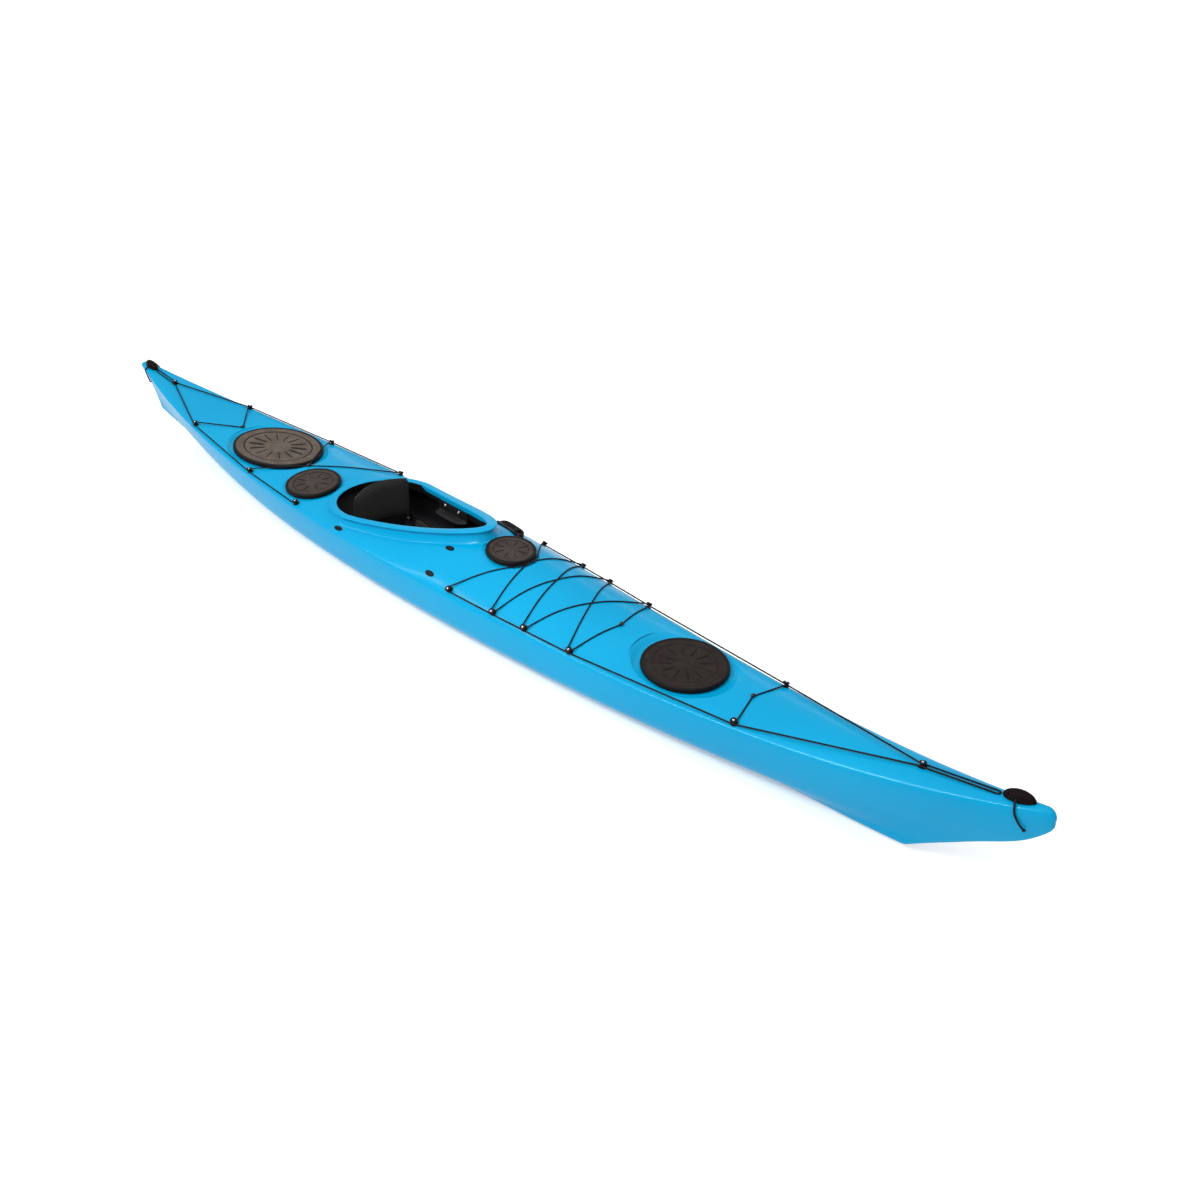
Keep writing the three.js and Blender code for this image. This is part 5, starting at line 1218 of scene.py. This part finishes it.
def cord_piece(name, runs, radius, material, beads=(), loop=False, sides=10):
    """A cord in one or more runs, with its beads, and its length and girth laid out for the braid."""
    parts, lengths = [], []
    for path in runs:
        way = np.array(evened(path, loop))
        rings = tube_rings(way, radius + skin_gap, sides, loop)
        steps = np.linalg.norm(np.roll(way, -1, 0) - way, axis=1)
        lengths.append(np.concatenate(([0], np.cumsum(steps)[:-1])))
        parts.append((rings, skin(rings, loop=loop), 0))
    for x, y in beads:
        height = land_at(x, y)[0] + bead_radius + 0.6
        ball = []
        for t in np.linspace(-1, 1, 15):
            r = bead_radius * max(0.12, 1 - abs(t) ** 2.6) ** 0.5
            along = y + bead_half_long * t
            ball.append([(x + r * math.cos(a), along, height + r * math.sin(a)) for a in turns_of(16)])
        parts.append((ball, skin(ball), 1))
    points, faces, indices = several(parts)
    piece = new_piece(name, points, faces, [material, bead_plastic], indices)
    layer = piece.data.uv_layers.new(name="along")
    reach, turns = [], []
    for run in lengths:
        reach += [value for value in run for _ in range(sides)]
        turns += list(range(sides)) * len(run)
    reach += [0.0] * (len(points) - len(reach))
    turns += [0] * (len(points) - len(turns))
    spots = np.empty(len(piece.data.loops), int)
    piece.data.loops.foreach_get("vertex_index", spots)
    flat = np.empty((len(spots), 2))
    flat[:, 0] = np.array(reach)[spots] / (2 * math.pi * radius)
    flat[:, 1] = np.array(turns)[spots] / sides
    for face in piece.data.polygons:
        corner = slice(face.loop_start, face.loop_start + face.loop_total)
        if np.ptp(flat[corner, 1]) > 0.5:
            low = flat[corner, 1] < 0.5
            flat[corner, 1][low] += 1
    layer.data.foreach_set("uv", flat.ravel())
    smooth_over(piece, 60)
    return piece


toggle_half_long, toggle_half_wide, toggle_height = 52, 21, 32


def deck_line(toggle_x, centre_x, side_stops):
    """One line up the port side, round the toggle and back down the starboard side."""
    ahead = math.copysign(1, toggle_x)
    beside = post_radius + cord_gap + line_radius
    turn_x = toggle_x - ahead * (toggle_half_long + 1.6 * line_radius + beside)
    lift = line_lift + seat_gap
    port = [(centre_x - ahead * 14, beside, lift), (centre_x + ahead * 14, beside, lift), (turn_x, beside)]
    port += [(turn_x + ahead * beside * math.sin(a), beside * math.cos(a)) for a in (0.5, 1.0)]
    starboard = [(p[0], -p[1], *p[2:]) for p in reversed(port)]
    around_toggle = port + [(turn_x + ahead * beside, 0.0)] + starboard
    stops = side_stops("port") + around_toggle + side_stops("starboard")[::-1]
    return laced(stops, line_radius, line_lift, line_end_hand)


foredeck_stops = lambda side: ["foredeck_fitting_%d_%s" % (i, side) for i in (1, 2, 3, 4)]
bow_stops = lambda side: foredeck_stops(side) + ["bow_fitting_" + side]
stern_stops = lambda side: ["aft_fitting_%d_%s" % (i, side) for i in (1, 2, 3)]
for name, end, centre, stops in (
    ("bow_deck_line", toggle_ends["bow"]["x"], places["bow_centre_fitting"][0], bow_stops),
    ("stern_deck_line", toggle_ends["stern"]["x"], places["stern_centre_fitting"][0], stern_stops),
):
    line = cord_piece(name + "_braid", [deck_line(end, centre, stops)], line_radius, line_braid)
    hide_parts(name)
    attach(line, "hull")

# The bungees: where each one's bead is, and the fittings and places that its runs pass
beads = {"bow": (1497, 0), "stern": (-1611, 0), "hatch": (-1028, -25), "foredeck": (893, 0)}
bungee_runs = {
    "bow": [["bow_fitting_starboard", beads["bow"], "bow_fitting_port"]],
    "stern": [["aft_fitting_3_starboard", beads["stern"], "aft_fitting_3_port"]],
    "hatch": [
        ["aft_fitting_2_starboard", beads["hatch"], "aft_fitting_1_port"],
        ["aft_fitting_2_port", beads["hatch"]],
    ],
    "foredeck": [],
}
pod = hatches["pod"]
pod_reach = pod["long"] + 3 + bungee_radius + 1.0
for one, other, hand in (("starboard", "port", 1), ("port", "starboard", -1)):
    at = lambda station, side: "foredeck_fitting_%d_%s" % (station, side)
    lid_edge = [(pod_reach * math.cos(a), hand * pod_reach * math.sin(a)) for a in np.linspace(-0.67, 0, 9)]
    round_lid = [(pod["x"] + dx, y) for dx, y in lid_edge]
    zigzag = [at(2, other), (558, 0), at(3, one), (740, 0), at(4, other), beads["foredeck"]]
    bungee_runs["foredeck"].append([at(1, one)] + round_lid + zigzag)
for place, runs in bungee_runs.items():
    name = place + "_bungee"
    ways = [laced(stops, bungee_radius, bungee_lift, bungee_end_hand) for stops in runs]
    elastic = cord_piece(name + "_braid", ways, bungee_radius, bungee_braid, [beads[place]])
    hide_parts(name)
    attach(elastic, "hull")


# Toggles: moulded rubber handles that rest on each stem
# Each is a solid half dome on a cord loop. The cord runs down both sides of the stem, through its hole.
toggle_rubber = surface("toggle_rubber", (0.007, 0.003, 0.003), (0.003, 0.002, 0.002), 25, (0.4, 0.6), 500,
                        0.0002, Specular_IOR_Level=0.05)
eye_height, eye_radius, bend_radius, cord_clear = 12.4, 6.2, 8, 4.2
dome = []
for level in np.linspace(0, 1, 15):
    full = max(0.02, math.cos(level * math.pi / 2)) ** 0.85 * (1 - 0.05 * (1 - level) ** 8)
    height = 0.6 + toggle_height * math.sin(level * math.pi / 2)
    long, wide = toggle_half_long * full, toggle_half_wide * full
    waisted = [(a, math.sin(a) * (1 - 0.1 * math.cos(2 * a))) for a in turns_of(56)]
    dome.append([(long * math.cos(a), wide * across, height) for a, across in waisted])
toggle_parts = [(dome, skin(dome), 0)]
for side in (1, -1):
    eye = []
    for share, y in ((1, 14), (1, 20.6), (0.85, 21.6), (0.6, 21.2)):
        r = eye_radius * share
        eye.append([(r * math.cos(a), side * y, eye_height + r * math.sin(a)) for a in turns_of(16)])
    toggle_parts.append((eye, skin(eye), 0))
for name, end in toggle_ends.items():
    here = resting_frame(end["x"], 0, toggle_half_long, 10.5)
    parts = [(placed(shape, here), sides, index) for shape, sides, index in toggle_parts]
    points, faces, indices = several(parts)
    handle = new_piece(name + "_toggle_handle", points, faces, [toggle_rubber], indices)
    smooth_over(handle, 50)
    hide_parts(name + "_toggle")
    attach(handle, name + "_toggle")

    top = placed([(0, 0, eye_height)], here)[0]
    hole_x, hole_z = end["hole_x"], end["hole_z"]
    mouth = half_width_at(hole_x, hole_z)
    bend = [(bend_radius * math.sin(t), bend_radius * math.cos(t)) for t in np.linspace(0, math.pi / 2, 6)]
    over = [np.array((top[0], toggle_half_wide + out, top[2] - bend_radius + up)) for out, up in bend]
    into = [np.array((hole_x, mouth + out, hole_z + bend_radius - down)) for down, out in bend]
    edge_x = end["x"] + (hole_x - end["x"]) * 0.1
    edge = np.array((edge_x, beam_at(edge_x) + cord_clear, sheer_at(edge_x) + cord_clear))
    down = []
    for share in (0.2, 0.33, 0.5, 0.67, 0.85):
        spot = edge + (into[0] - edge) * share
        spot[0] = edge_x + (hole_x - edge_x) * share**1.6
        spot[1] = max(spot[1], half_width_at(spot[0], spot[2]) + cord_clear)
        down.append(spot)
    port = over + [edge] + down + into
    starboard = [np.array((p[0], -p[1], p[2])) for p in reversed(port)]
    loop_path = [np.array((top[0], 0, top[2]))] + port + [np.array((hole_x, 0, hole_z))] + starboard
    cord = cord_piece(name + "_toggle_loop", [loop_path], 3.0, line_braid, loop=True, sides=12)
    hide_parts(name + "_toggle_cord")
    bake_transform(cord)
